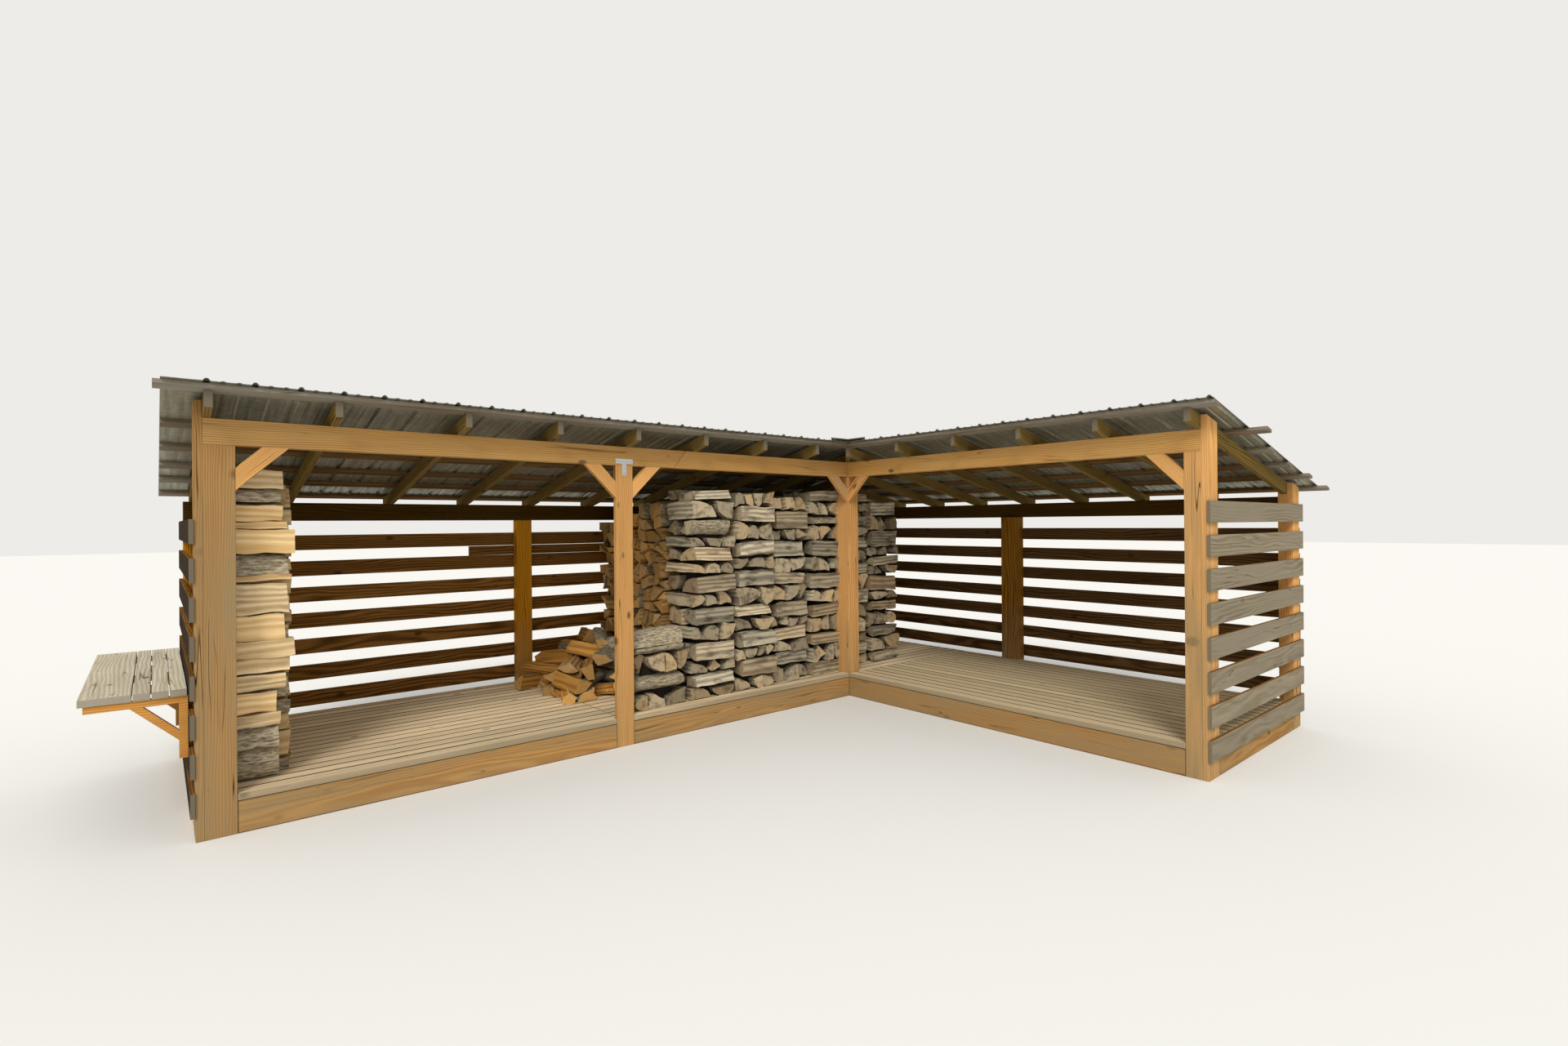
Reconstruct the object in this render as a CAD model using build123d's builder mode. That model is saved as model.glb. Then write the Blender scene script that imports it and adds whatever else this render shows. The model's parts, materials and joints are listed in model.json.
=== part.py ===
"""An L-shaped open log store: two wings of posts, beams, decks and slatted walls under ribbed roofs.

Millimetres. The origin is the middle of the corner post's foot, +Z is up, the left wing runs
along -X and the right wing along -Y. Each wing has its own three measures: along it from the
front corner, inward from its open front, and height over the ground.
"""
from build123d import *
import math
import os
import random

# Overall sizes
wing_depth = 1930          # open front to the outer faces of the back posts
left_length = 4898         # front corner to the outer face of the left end
right_length = 3167        # front corner to the outer face of the right end
front_beam_bottom = 2100
back_beam_bottom = 1705
front_overhang = 165       # open front to the rafters' tails
back_overhang = 180
left_roof_overhang = 132
right_roof_overhang = 113

# Timber sections
post_size = 140
ply = 38                   # thickness of planks, rafters, joists and braces
stud = 89                  # width of the planks used as rafters, purlins and braces
purlin_thick = 22
beam_height = 140
beam_thick = 89
back_post_wide = 140
back_post_thick = 89
slat_thick = 22

# Posts
right_post_wide = 101
right_post_deep = 178
right_back_post_deep = 165
mid_post_along = 2385      # middle of the mid front post
left_back_mid_along = 2431
right_back_mid_along = 610
right_back_mid_wide = 178
right_back_mid_deep = 140
brace_leg = 245            # what a knee brace covers of its post and of its beam
scarf_foot = 1949          # where the left front beam's joint meets its underside
scarf_head = 1838
scarf_joint = 3

# Roof
left_rafter_pitch = 600
left_rafter_start = -50
left_end_rafter_pitch = 584
right_rafter_pitch = 590
purlin_shares = (0, 0.277, 0.481, 0.663, 0.823, 1)    # ways from the first purlin to the last
front_purlin_setback = 10  # rafters' front tails to the middle of the first purlin
back_purlin_setback = 90   # sheets' back edge to the middle of the last purlin
back_tail_setback = 50     # sheets' back edge to the rafters' back tails
proud_purlins = {("left", 0): 30, ("right", 1): 105, ("right", 4): 40, ("right", 5): 60}
sheet_drip = 80            # rafters' front tails to the sheets' front edge
rib_pitch = 203
end_ribs = {"left": 180, "right": 22}     # sheets' open ends to the middles of their first ribs
rib_height = 14
rib_top = 12
rib_foot = 34
minor_rib_height = 4
minor_rib_top = 10
minor_rib_foot = 26
sheet_thick = 2
hip_cap_wide = 150

# Decks
deck_board = 100
deck_pitch = 108
deck_post_clearance = 2
board_joint_along = 2430   # where the left wing's deck boards butt
board_joint = 4
joist_pitch = 610

# Slatted walls
back_slat_height = 118
back_slat_pitch = 205.5
back_slat_low = 240
back_slats = 7
left_end_slat_height = 130
left_end_slat_pitch = 206
left_end_slat_low = 130
right_end_slat_height = 140
right_end_slat_pitch = 217
right_end_slat_low = 123
end_slats = 8
end_slat_proud = 10        # how far the end slats reach past the open front
patch_start = 1300
patch_end = 2900
patch_height = 84

# Side shelf on the left end
shelf_top = 790
shelf_start = 170
shelf_length = 1780
shelf_narrow_boards = 3
shelf_narrow_board = 70
shelf_wide_board = 205
shelf_gap = 5
bracket_foot = 415
bracket_inset = 29         # shelf ends to the middles of the outer brackets
bracket_reach = 200        # what a bracket's brace covers of its leg and of its arm
bracket_lip = 20           # shelf's outer edge past the brackets' arms
brackets = 3

# Tee strap
strap_wide = 143
strap_high = 127
strap_bar = 38
strap_thick = 3
strap_rise = 49            # strap top over the beam's underside
strap_hole = 5

# Stacked firewood
end_row_log = 430
stack_headroom = 190       # top of the tall stacks under the rafters, measured straight down
wall_clearance = 150       # stacks to the back posts
plank_clearance = 20       # stacks to the posts in front of them
stack_start = -980
stack_end = 1750
stack_front = 60
crib_column = 455          # usual width of a column of crossed courses
crib_gap = 40
crib_log = 480
crib_front = 50
crib_deep = 400
crib_high = 620
heap_gap = 30
heap_long = 880
heap_near = 650
heap_high = 400
heap_low = 90
heap_logs = 16
log_wide = 160             # usual width of a log
log_high = 125             # usual height of a log
tall_log_wide = 260        # a log in the tall stacks, larger than life so that the model stays light
tall_log_high = 200
log_length = 400
log_gap = 7                # what each side of a log keeps from its place in the stack
log_proud = 30             # how far the logs stand out of a stack's core
log_short = 12             # how much further back every other log ends
log_shake = 0.25           # how unevenly logs lie, as a share of their width and height
log_split = 0.15           # share of the places that hold two split logs
log_seed = 7

# Worked out from the sizes above
front = -post_size / 2
beam_top = front_beam_bottom + beam_height
back_beam_top = back_beam_bottom + beam_height
back_face = wing_depth - back_post_thick
slope = (beam_top - back_beam_top) / back_face
pitch = math.degrees(math.atan(slope))
plumb = 1 / math.cos(math.radians(pitch))
deck_bottom = 2 * stud
deck_top = deck_bottom + ply
roof_back = wing_depth + back_overhang
left_post_outer = left_length - ply
left_post_inner = left_post_outer - post_size
right_post_outer = right_length - ply
right_post_inner = right_post_outer - right_post_wide
right_back_inner = right_length - right_post_wide
mid_post = (mid_post_along - post_size / 2, mid_post_along + post_size / 2)
lengths = {"left": left_length, "right": right_length}
overhangs = {"left": left_roof_overhang, "right": right_roof_overhang}
hip_drop = slope * ply / 2 / math.sqrt(2)

os.makedirs("parts", exist_ok=True)


def cross_plane(wing, along):
    """Upright plane across a wing: its X runs inward from the open front, its Y runs up."""
    if wing == "left":
        return Plane(origin=(front - along, front, 0), x_dir=(0, 1, 0), z_dir=(1, 0, 0))
    return Plane(origin=(front, front - along, 0), x_dir=(1, 0, 0), z_dir=(0, -1, 0))


def hip_side(wing, offset=0):
    """Upright plane beside the hip line, facing into the wing's own half of the corner."""
    facing = Vector(-1, 1, 0) if wing == "left" else Vector(1, -1, 0)
    return Plane(origin=facing.normalized() * offset, z_dir=facing)


def middle(span):
    return (span[0] + span[1]) / 2


def length(span):
    return span[1] - span[0]


def timber(wing, along, inward, height):
    """Square-cut timber given by its three spans."""
    with BuildPart() as piece:
        with BuildSketch(cross_plane(wing, middle(along))):
            with Locations((middle(inward), middle(height))):
                Rectangle(length(inward), length(height))
        extrude(amount=length(along) / 2, both=True)
    return piece.part


def cut_timber(wing, along, outline):
    """Timber whose side, seen along the wing, is an outline of inward and height points."""
    with BuildPart() as piece:
        with BuildSketch(cross_plane(wing, middle(along))):
            with BuildLine():
                Polyline(*outline, close=True)
            make_face()
        extrude(amount=length(along) / 2, both=True)
    return piece.part


def finish(piece, name):
    """Label a finished piece and write it."""
    piece.part.label = name
    export_step(piece.part, f"parts/{name}.step")


def rafter_bottom(inward):
    """Height of the rafters' underside."""
    return beam_top - slope * inward


def rafter_top(inward):
    return rafter_bottom(inward) + stud * plumb


def centred(middle_along, size):
    return (middle_along - size / 2, middle_along + size / 2)


# Front posts
def make_front_posts():
    full = (0, post_size)
    with BuildPart() as left_end_post:
        add(timber("left", (left_post_inner, left_post_outer), full, (0, front_beam_bottom)))
    finish(left_end_post, "left_end_post")
    with BuildPart() as left_end_post_plank:
        add(rising_plank("left", (left_post_outer, left_length), full))
    finish(left_end_post_plank, "left_end_post_plank")
    with BuildPart() as mid_front_post:
        add(timber("left", mid_post, (0, ply), (0, front_beam_bottom)))
    finish(mid_front_post, "mid_front_post")
    with BuildPart() as corner_post:
        add(timber("left", (-post_size, 0), full, (0, front_beam_bottom)))
    finish(corner_post, "corner_post")
    with BuildPart() as corner_post_plank:
        add(timber("left", (-post_size, 0), (post_size, post_size + ply), (0, front_beam_bottom)))
    finish(corner_post_plank, "corner_post_plank")
    deep = (0, right_post_deep)
    with BuildPart() as right_end_post:
        add(timber("right", (right_post_inner, right_post_outer), deep, (0, front_beam_bottom)))
    finish(right_end_post, "right_end_post")
    with BuildPart() as right_end_post_plank:
        add(rising_plank("right", (right_post_outer, right_length), deep))
    finish(right_end_post_plank, "right_end_post_plank")


def rising_plank(wing, along, inward):
    """Plank from the ground up past the beam, cut to the roof's slope."""
    low, high = inward
    return cut_timber(wing, along, [(low, 0), (high, 0), (high, rafter_top(high)), (low, rafter_top(low))])


# Front beams, mitred over the corner post
def make_front_beams():
    ends = {"left": left_post_outer, "right": right_post_outer}
    for wing, end in ends.items():
        with BuildPart() as beam:
            add(timber(wing, (-beam_thick, end), (0, beam_thick), (front_beam_bottom, beam_top)))
            split(bisect_by=hip_side(wing), keep=Keep.TOP)
            if wing == "left":
                add(scarf_cut(), mode=Mode.SUBTRACT)
        finish(beam, f"{wing}_front_beam")


def scarf_cut():
    """Thin slanted slot that parts the left front beam into its two lengths."""
    corners = [(scarf_foot, front_beam_bottom), (scarf_head, beam_top)]
    corners += [(along - scarf_joint, height) for along, height in reversed(corners)]
    with BuildPart() as piece:
        with BuildSketch(front_plane("left")):
            with BuildLine():
                Polyline(*corners, close=True)
            make_face()
        extrude(amount=beam_thick, dir=inward_direction("left"))
    return piece.part


# Knee braces under the front beams
def knee_brace(wing, post_face, direction):
    """Brace at 45 degrees from a post's face to the beam, the given way along the wing."""
    reach = brace_leg - stud * math.sqrt(2)
    corners = [(0, -reach), (0, -brace_leg), (brace_leg, 0), (reach, 0)]
    outline = [(post_face + direction * x, front_beam_bottom + y) for x, y in corners]
    with BuildPart() as piece:
        with BuildSketch(front_plane(wing)):
            with BuildLine():
                Polyline(*outline, close=True)
            make_face()
        extrude(amount=ply, dir=inward_direction(wing))
    return piece.part


def front_plane(wing):
    """Upright plane in a wing's open front: its X runs along the wing, its Y runs up."""
    if wing == "left":
        return Plane(origin=(front, front, 0), x_dir=(-1, 0, 0), z_dir=(0, 1, 0))
    return Plane(origin=(front, front, 0), x_dir=(0, -1, 0), z_dir=(-1, 0, 0))


def inward_direction(wing):
    return (0, 1, 0) if wing == "left" else (1, 0, 0)


def make_knee_braces():
    places = [("left", left_post_inner, -1), ("left", mid_post[1], 1), ("left", mid_post[0], -1),
              ("left", 0, 1), ("right", 0, 1), ("right", right_post_inner, -1)]
    with BuildPart() as knee_braces:
        for wing, post_face, direction in places:
            add(knee_brace(wing, post_face, direction))
    finish(knee_braces, "knee_braces")


# Back posts
def make_back_posts():
    deep = (back_face, wing_depth)
    rise = (0, back_beam_bottom)
    with BuildPart() as left_back_posts:
        for outer in (left_length, left_back_mid_along + back_post_wide / 2, back_post_wide / 2):
            add(timber("left", (outer - back_post_wide, outer), deep, rise))
    finish(left_back_posts, "left_back_posts")
    with BuildPart() as outer_corner_post:
        add(timber("left", (-wing_depth, -back_face), deep, rise))
    finish(outer_corner_post, "outer_corner_post")
    with BuildPart() as right_back_mid_post:
        add(timber("right", centred(right_back_mid_along, right_back_mid_wide),
                   (wing_depth - right_back_mid_deep, wing_depth), rise))
    finish(right_back_mid_post, "right_back_mid_post")
    with BuildPart() as right_back_end_post:
        add(rising_plank("right", (right_back_inner, right_length),
                         (wing_depth - right_back_post_deep, wing_depth)))
    finish(right_back_end_post, "right_back_end_post")


def make_back_beams():
    deep = (back_face, wing_depth)
    rise = (back_beam_bottom, back_beam_top)
    with BuildPart() as left_back_beam:
        add(timber("left", (-wing_depth, left_length), deep, rise))
    finish(left_back_beam, "left_back_beam")
    with BuildPart() as right_back_beam:
        add(timber("right", (-back_face, right_back_inner), deep, rise))
    finish(right_back_beam, "right_back_beam")


# Rafters
def rafter_outline(tail_end):
    """Side of a rafter: plumb tails and a flat seat cut over each beam."""
    seats = [0, beam_thick, back_face, wing_depth]
    outline = [(-front_overhang, rafter_bottom(-front_overhang)), (seats[0], beam_top)]
    outline += [(seats[1], beam_top), (seats[1], rafter_bottom(seats[1]))]
    if tail_end > seats[3]:
        outline += [(seats[2], back_beam_top), (seats[3], back_beam_top), (seats[3], rafter_bottom(seats[3]))]
    outline += [(tail_end, rafter_bottom(tail_end)), (tail_end, rafter_top(tail_end))]
    return outline + [(-front_overhang, rafter_top(-front_overhang))]


def rafter_places(wing):
    """Middles of the rafters along a wing, from the end one into the corner."""
    reach = ply - wing_depth
    if wing == "left":
        end = left_post_outer - ply / 2
        places = [end, end - left_end_rafter_pitch]
        most = int((places[1] - left_rafter_start - left_rafter_pitch / 2) // left_rafter_pitch)
        least = int(reach // left_rafter_pitch)
        places += [left_rafter_start + step * left_rafter_pitch for step in range(most, least, -1)]
    else:
        end = right_post_outer - ply / 2
        count = int((end - reach) // right_rafter_pitch) + 1
        places = [end - step * right_rafter_pitch for step in range(count)]
    return [place for place in places if place > reach + stud]


def make_rafters():
    tail = roof_back - back_tail_setback
    cut_short = wing_depth - right_back_post_deep
    for wing in lengths:
        with BuildPart() as rafters:
            for index, place in enumerate(rafter_places(wing)):
                tail_end = cut_short if wing == "right" and index == 0 else tail
                add(cut_timber(wing, centred(place, ply), rafter_outline(tail_end)))
            split(bisect_by=hip_side(wing, ply / 2), keep=Keep.TOP)
        finish(rafters, f"{wing}_rafters")


def make_hip_rafter():
    """Rafter under the hip line, its seats widened because it crosses the beams at an angle."""
    skew = ply / 2 / math.sqrt(2)
    tail = roof_back - back_tail_setback
    front_seat, back_seat, seat_end = beam_thick + skew, back_face - skew, wing_depth + skew
    outline = [(-front_overhang, rafter_bottom(-front_overhang)), (0, beam_top)]
    outline += [(front_seat, beam_top), (front_seat, rafter_bottom(front_seat))]
    outline += [(back_seat, rafter_bottom(back_seat)), (back_seat, back_beam_top)]
    outline += [(seat_end, back_beam_top), (seat_end, rafter_bottom(seat_end))]
    outline += [(tail, rafter_bottom(tail)), (tail, rafter_top(tail) - hip_drop)]
    outline += [(-front_overhang, rafter_top(-front_overhang) - hip_drop)]
    hip_plane = Plane(origin=(front, front, 0), x_dir=(1, 1, 0), z_dir=(1, -1, 0))
    with BuildPart() as hip_rafter:
        with BuildSketch(hip_plane):
            with BuildLine():
                Polyline(*[(inward * math.sqrt(2), height) for inward, height in outline], close=True)
            make_face()
        extrude(amount=ply / 2, both=True)
    finish(hip_rafter, "hip_rafter")


# Purlins, laid flat on the rafters
def purlin_places():
    """Inward places of the purlins' middles."""
    first = front_purlin_setback - front_overhang
    last = roof_back - back_purlin_setback
    return [first + share * (last - first) for share in purlin_shares]


def make_purlins():
    for wing in lengths:
        roof_end = lengths[wing] + overhangs[wing]
        with BuildPart() as purlins:
            for index, inward in enumerate(purlin_places()):
                proud = proud_purlins.get((wing, index), 0)
                add(roof_strip(wing, (-inward - stud, roof_end + proud), inward, stud, purlin_thick))
            split(bisect_by=hip_side(wing), keep=Keep.TOP)
        finish(purlins, f"{wing}_purlins")


def roof_strip(wing, along, inward, wide, thick):
    """Flat strip lying on the rafters, square to their slope."""
    rise = thick / 2
    lean = math.radians(pitch)
    place = (inward + rise * math.sin(lean), rafter_top(inward) + rise * math.cos(lean))
    with BuildPart() as piece:
        with BuildSketch(cross_plane(wing, middle(along))):
            with Locations(place):
                Rectangle(wide, thick, rotation=-pitch)
        extrude(amount=length(along) / 2, both=True)
    return piece.part


# Ribbed roof sheets
def rib_outline(centre, foot, top, height):
    """Corners of one rib, from its foot over its top."""
    steps = [(-foot / 2, 0), (-top / 2, height), (top / 2, height), (foot / 2, 0)]
    return [(centre + along, rise) for along, rise in steps]


def rib_line(along_start, along_end, end_rib):
    """Half of a sheet's section along a wing: tall ribs with two low ones in each pan between them."""
    points = []
    centre = along_end - end_rib
    while centre - rib_pitch > along_start:
        pan = [rib_outline(centre - rib_pitch * share, minor_rib_foot, minor_rib_top, minor_rib_height)
               for share in (2 / 3, 1 / 3)]
        points[0:0] = pan[0] + pan[1] + rib_outline(centre, rib_foot, rib_top, rib_height)
        centre -= rib_pitch
    return [(along_start, 0)] + points + [(along_end, 0)]


def make_roof_sheets():
    front_edge = -front_overhang - sheet_drip
    slant = (roof_back - front_edge) * plumb
    lean = math.radians(pitch)
    lift = stud + purlin_thick
    for wing in lengths:
        start = -roof_back - 2 * rib_pitch
        line = rib_line(start, lengths[wing] + overhangs[wing], end_ribs[wing])
        outline = line + [(along, height + sheet_thick) for along, height in reversed(line)]
        edge = (lift * math.sin(lean) + front_edge, rafter_bottom(front_edge) + lift * math.cos(lean))
        with BuildPart() as sheets:
            with BuildSketch(roof_edge_plane(wing, edge)):
                with BuildLine():
                    Polyline(*outline, close=True)
                make_face()
            extrude(amount=slant, dir=down_slope(wing))
            split(bisect_by=hip_side(wing), keep=Keep.TOP)
        finish(sheets, f"{wing}_roof_sheets")


def down_slope(wing):
    lean = math.radians(pitch)
    return Vector(*inward_direction(wing)) * math.cos(lean) + Vector(0, 0, -math.sin(lean))


def roof_edge_plane(wing, edge):
    """Plane square to the roof's slope at an inward and height point: its X runs along the wing."""
    inward, height = edge
    origin = Vector(front, front, height) + Vector(*inward_direction(wing)) * inward
    along = Vector(-1, 0, 0) if wing == "left" else Vector(0, -1, 0)
    lean = math.radians(pitch)
    up = Vector(*inward_direction(wing)) * math.sin(lean) + Vector(0, 0, math.cos(lean))
    return Plane(origin=origin, x_dir=along, z_dir=along.cross(up))


def make_hip_cap():
    """Folded strip over the ribs along the hip line."""
    lift = (stud + purlin_thick + rib_height + sheet_thick) * plumb
    reach = hip_cap_wide * math.sqrt(2)
    with BuildPart() as hip_cap:
        for wing in lengths:
            span = (-front_overhang - sheet_drip, roof_back)
            corners = [(at, rafter_bottom(at) + lift) for at in span]
            corners += [(at, height + sheet_thick) for at, height in reversed(corners)]
            with BuildPart(mode=Mode.PRIVATE) as half:
                add(cut_timber(wing, (-roof_back - reach, reach - span[0]), corners))
                split(bisect_by=hip_side(wing), keep=Keep.TOP)
                split(bisect_by=hip_side(wing, hip_cap_wide), keep=Keep.BOTTOM)
            add(half.part)
    finish(hip_cap, "hip_cap")


# Rims, joists and deck boards
def make_rims():
    low = (0, stud)
    high = (stud, deck_bottom)
    back = back_face - ply
    with BuildPart() as left_rims:
        for span in [(0, mid_post[0]), (mid_post[1], left_post_inner)]:
            add(timber("left", span, (0, stud), low))
            add(timber("left", span, (0, ply), high))
        add(timber("left", (-back_face, left_post_outer), (back_face - stud, back_face), low))
        add(timber("left", (-back_face, left_post_outer), (back, back_face), high))
        add(timber("left", (left_post_outer, left_length), (post_size, back_face), (0, deck_bottom)))
    finish(left_rims, "left_rims")
    mid_back = centred(right_back_mid_along, right_back_mid_wide)
    with BuildPart() as right_rims:
        add(timber("right", (0, right_post_inner), (0, stud), low))
        add(timber("right", (0, right_post_inner), (0, ply), high))
        for span in [(stud - back_face, mid_back[0]), (mid_back[1], right_back_inner)]:
            add(timber("right", span, (back_face - stud, back_face), low))
            add(timber("right", span, (back, back_face), high))
        end = (right_post_deep, wing_depth - right_back_post_deep)
        add(timber("right", (right_post_outer, right_length), end, (0, deck_bottom)))
    finish(right_rims, "right_rims")


def joist_places(start, end):
    """Evenly spaced joists between two ends, no further apart than the joist pitch."""
    steps = math.ceil((end - start) / joist_pitch)
    return [start + (end - start) * step / steps for step in range(steps + 1)]


def make_joists():
    high = (stud, deck_bottom)
    back = back_face - ply
    corner_end = stud - back_face
    with BuildPart() as left_joists:
        for place in joist_places(mid_post_along, left_post_outer - ply / 2)[:-1]:
            add(timber("left", centred(place, ply), (ply, back), high))
        for place in joist_places(corner_end, mid_post_along)[:-1]:
            add(timber("left", centred(place, ply), (post_size + ply if place < ply else ply, back), high))
    finish(left_joists, "left_joists")
    with BuildPart() as right_joists:
        for place in joist_places(ply / 2, right_post_inner - ply / 2):
            add(timber("right", centred(place, ply), (ply, wing_depth - right_back_mid_deep), high))
    finish(right_joists, "right_joists")
    with BuildPart() as sleepers:
        add(timber("left", (corner_end, left_post_outer), centred(wing_depth / 2, stud), (0, stud)))
        add(timber("right", (0, right_post_outer), centred(wing_depth / 2, stud), (0, stud)))
    finish(sleepers, "sleepers")


def make_decks():
    level = (deck_bottom, deck_top)
    rows = int((back_face - deck_board) // deck_pitch) + 1
    gap = deck_post_clearance
    with BuildPart() as left_deck:
        for row in range(rows):
            board = (row * deck_pitch, row * deck_pitch + deck_board)
            add(timber("left", (-back_face, left_length), board, level))
        for along, deep in [((left_post_inner - gap, left_length), post_size + gap),
                            ((mid_post[0] - gap, mid_post[1] + gap), ply + gap),
                            ((-post_size - gap, gap), post_size + ply + gap)]:
            add(timber("left", along, (-gap, deep), level), mode=Mode.SUBTRACT)
        butt = centred(board_joint_along, board_joint)
        add(timber("left", butt, (-gap, back_face), level), mode=Mode.SUBTRACT)
    finish(left_deck, "left_deck")
    with BuildPart() as right_deck:
        for row in range(rows):
            board = (row * deck_pitch, row * deck_pitch + deck_board)
            add(timber("right", (deck_post_clearance, right_length), board, level))
        mid_back = centred(right_back_mid_along, right_back_mid_wide + 2 * gap)
        for along, deep in [((right_post_inner - gap, right_length), (-gap, right_post_deep + gap)),
                            (mid_back, (wing_depth - right_back_mid_deep - gap, back_face)),
                            ((right_back_inner - gap, right_length), (wing_depth - right_back_post_deep - gap,
                                                                      back_face))]:
            add(timber("right", along, deep, level), mode=Mode.SUBTRACT)
    finish(right_deck, "right_deck")


# Slatted walls
def slat_rows(low, pitch_up, height, count):
    return [(low + row * pitch_up, low + row * pitch_up + height) for row in range(count)]


def make_walls():
    outside = (wing_depth, wing_depth + slat_thick)
    rows = slat_rows(back_slat_low, back_slat_pitch, back_slat_height, back_slats)
    starts = {"left": -wing_depth - slat_thick, "right": -wing_depth}
    for wing in lengths:
        with BuildPart() as back_slat_wall:
            for row in rows:
                add(timber(wing, (starts[wing], lengths[wing]), outside, row))
        finish(back_slat_wall, f"{wing}_back_slats")
    gap_middle = (rows[-2][1] + rows[-1][0]) / 2
    with BuildPart() as patch_board:
        add(timber("left", (patch_start, patch_end), outside, centred(gap_middle, patch_height)))
    finish(patch_board, "patch_board")
    span = (-end_slat_proud, wing_depth + slat_thick)
    with BuildPart() as left_end_slats:
        for row in slat_rows(left_end_slat_low, left_end_slat_pitch, left_end_slat_height, end_slats):
            add(timber("left", (left_length, left_length + slat_thick), span, row))
    finish(left_end_slats, "left_end_slats")
    with BuildPart() as right_end_slats:
        for row in slat_rows(right_end_slat_low, right_end_slat_pitch, right_end_slat_height, end_slats):
            add(timber("right", (right_length, right_length + slat_thick), span, row))
    finish(right_end_slats, "right_end_slats")


# Side shelf and its brackets
def make_shelf():
    wall = left_length + slat_thick
    top = (shelf_top - ply, shelf_top)
    run = (shelf_start, shelf_start + shelf_length)
    step_out = shelf_narrow_board + shelf_gap
    narrow = shelf_narrow_boards * step_out + shelf_gap
    with BuildPart() as side_shelf:
        for board in range(shelf_narrow_boards):
            edge = wall + shelf_gap + board * step_out
            add(timber("left", (edge, edge + shelf_narrow_board), run, top))
        add(timber("left", (wall + narrow, wall + narrow + shelf_wide_board), run, top))
    finish(side_shelf, "side_shelf")
    arm_end = wall + narrow + shelf_wide_board - bracket_lip
    arm = (shelf_top - 2 * ply, shelf_top - ply)
    step = (shelf_length - 2 * bracket_inset) / (brackets - 1)
    with BuildPart() as shelf_brackets:
        for index in range(brackets):
            at = centred(shelf_start + bracket_inset + index * step, ply)
            add(timber("left", (wall, wall + ply), at, (bracket_foot, shelf_top - ply)))
            add(timber("left", (wall + ply, arm_end), at, arm))
            add(bracket_brace(wall + ply, at, arm[0]))
    finish(shelf_brackets, "shelf_brackets")


def bracket_brace(leg_face, inward, arm_bottom):
    """Brace at 45 degrees from the leg to the arm of a shelf bracket."""
    inner = bracket_reach - ply * math.sqrt(2)
    corners = [(0, -inner), (0, -bracket_reach), (bracket_reach, 0), (inner, 0)]
    plane = front_plane("left").offset(inward[0])
    with BuildPart() as piece:
        with BuildSketch(plane):
            with BuildLine():
                Polyline(*[(leg_face + x, arm_bottom + y) for x, y in corners], close=True)
            make_face()
        extrude(amount=length(inward), dir=inward_direction("left"))
    return piece.part


# Galvanised tee strap over the joint of the mid post and the beam
def make_tee_strap():
    top = front_beam_bottom + strap_rise
    plane = front_plane("left").offset(-strap_thick)
    with BuildPart() as tee_strap:
        with BuildSketch(plane):
            with Locations((mid_post_along, top - strap_bar / 2)):
                Rectangle(strap_wide, strap_bar)
            with Locations((mid_post_along, top - strap_high / 2)):
                Rectangle(strap_bar, strap_high)
            with Locations((mid_post_along, top - strap_bar / 2)):
                with GridLocations(strap_wide / 4, 0, 4, 1):
                    Circle(strap_hole / 2, mode=Mode.SUBTRACT)
            with Locations((mid_post_along, top - strap_high * 3 / 4)):
                with GridLocations(0, strap_bar, 1, 2):
                    Circle(strap_hole / 2, mode=Mode.SUBTRACT)
        extrude(amount=strap_thick, dir=inward_direction("left"))
    finish(tee_strap, "tee_strap")


# Stacked firewood: split logs that stand out of a plain core, so that each stack is in one piece
def shrunk(cell):
    """Outline of a log inside its place in the stack."""
    centre = [sum(axis) / len(cell) for axis in zip(*cell)]
    outline = []
    for point in cell:
        share = 1 - log_gap * math.sqrt(2) / math.dist(point, centre)
        outline.append(tuple(c + (p - c) * share for p, c in zip(point, centre)))
    return outline


def shaken(step, steps, draw):
    """Place of a grid line; only those inside the grid are moved."""
    return step + (draw.uniform(-log_shake, log_shake) if 0 < step < steps else 0)


def log_ends(across, low, top, columns, rows, draw):
    """Log ends in a wall between two places, under a top that may slope: a shaken grid."""
    points = {}
    for row in range(rows + 1):
        for column in range(columns + 1):
            at = across[0] + length(across) * shaken(column, columns, draw) / columns
            points[row, column] = (at, low + (top(at) - low) * shaken(row, rows, draw) / rows)
    cells = []
    for row in range(rows):
        for column in range(columns):
            cell = [points[row, column], points[row, column + 1]]
            cell += [points[row + 1, column + 1], points[row + 1, column]]
            halved = draw.random() < log_split
            cells += [cell[:3], [cell[0], *cell[2:]]] if halved else [cell]
    return [shrunk(cell) for cell in cells]


def wall_of_ends(across, top, draw):
    """Log ends from the deck up to a top, in a grid."""
    rows = max(1, round((top(middle(across)) - deck_top) / tall_log_high))
    return log_ends(across, deck_top, top, max(1, round(length(across) / tall_log_wide)), rows, draw)


def extruded(outlines, plane, amount, direction):
    with BuildPart() as logs:
        with BuildSketch(plane):
            add([Face(Wire.make_polygon([(*point, 0) for point in outline])) for outline in outlines])
        extrude(amount=amount, dir=direction)
    return logs.part


def logs_along(span, outlines):
    """Logs along the left wing, every other one a little shorter at both ends."""
    made = []
    for turn, short in ((0, 0), (1, log_short)):
        if outlines[turn::2]:
            plane = cross_plane("left", span[1] - short)
            made.append(extruded(outlines[turn::2], plane, length(span) - 2 * short, (1, 0, 0)))
    return made


def logs_inward(span, outlines):
    """Logs across the left wing, every other one a little shorter at both ends."""
    made = []
    for turn, short in ((0, 0), (1, log_short)):
        if outlines[turn::2]:
            plane = front_plane("left").offset(span[0] + short)
            made.append(extruded(outlines[turn::2], plane, length(span) - 2 * short, (0, 1, 0)))
    return made


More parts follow.
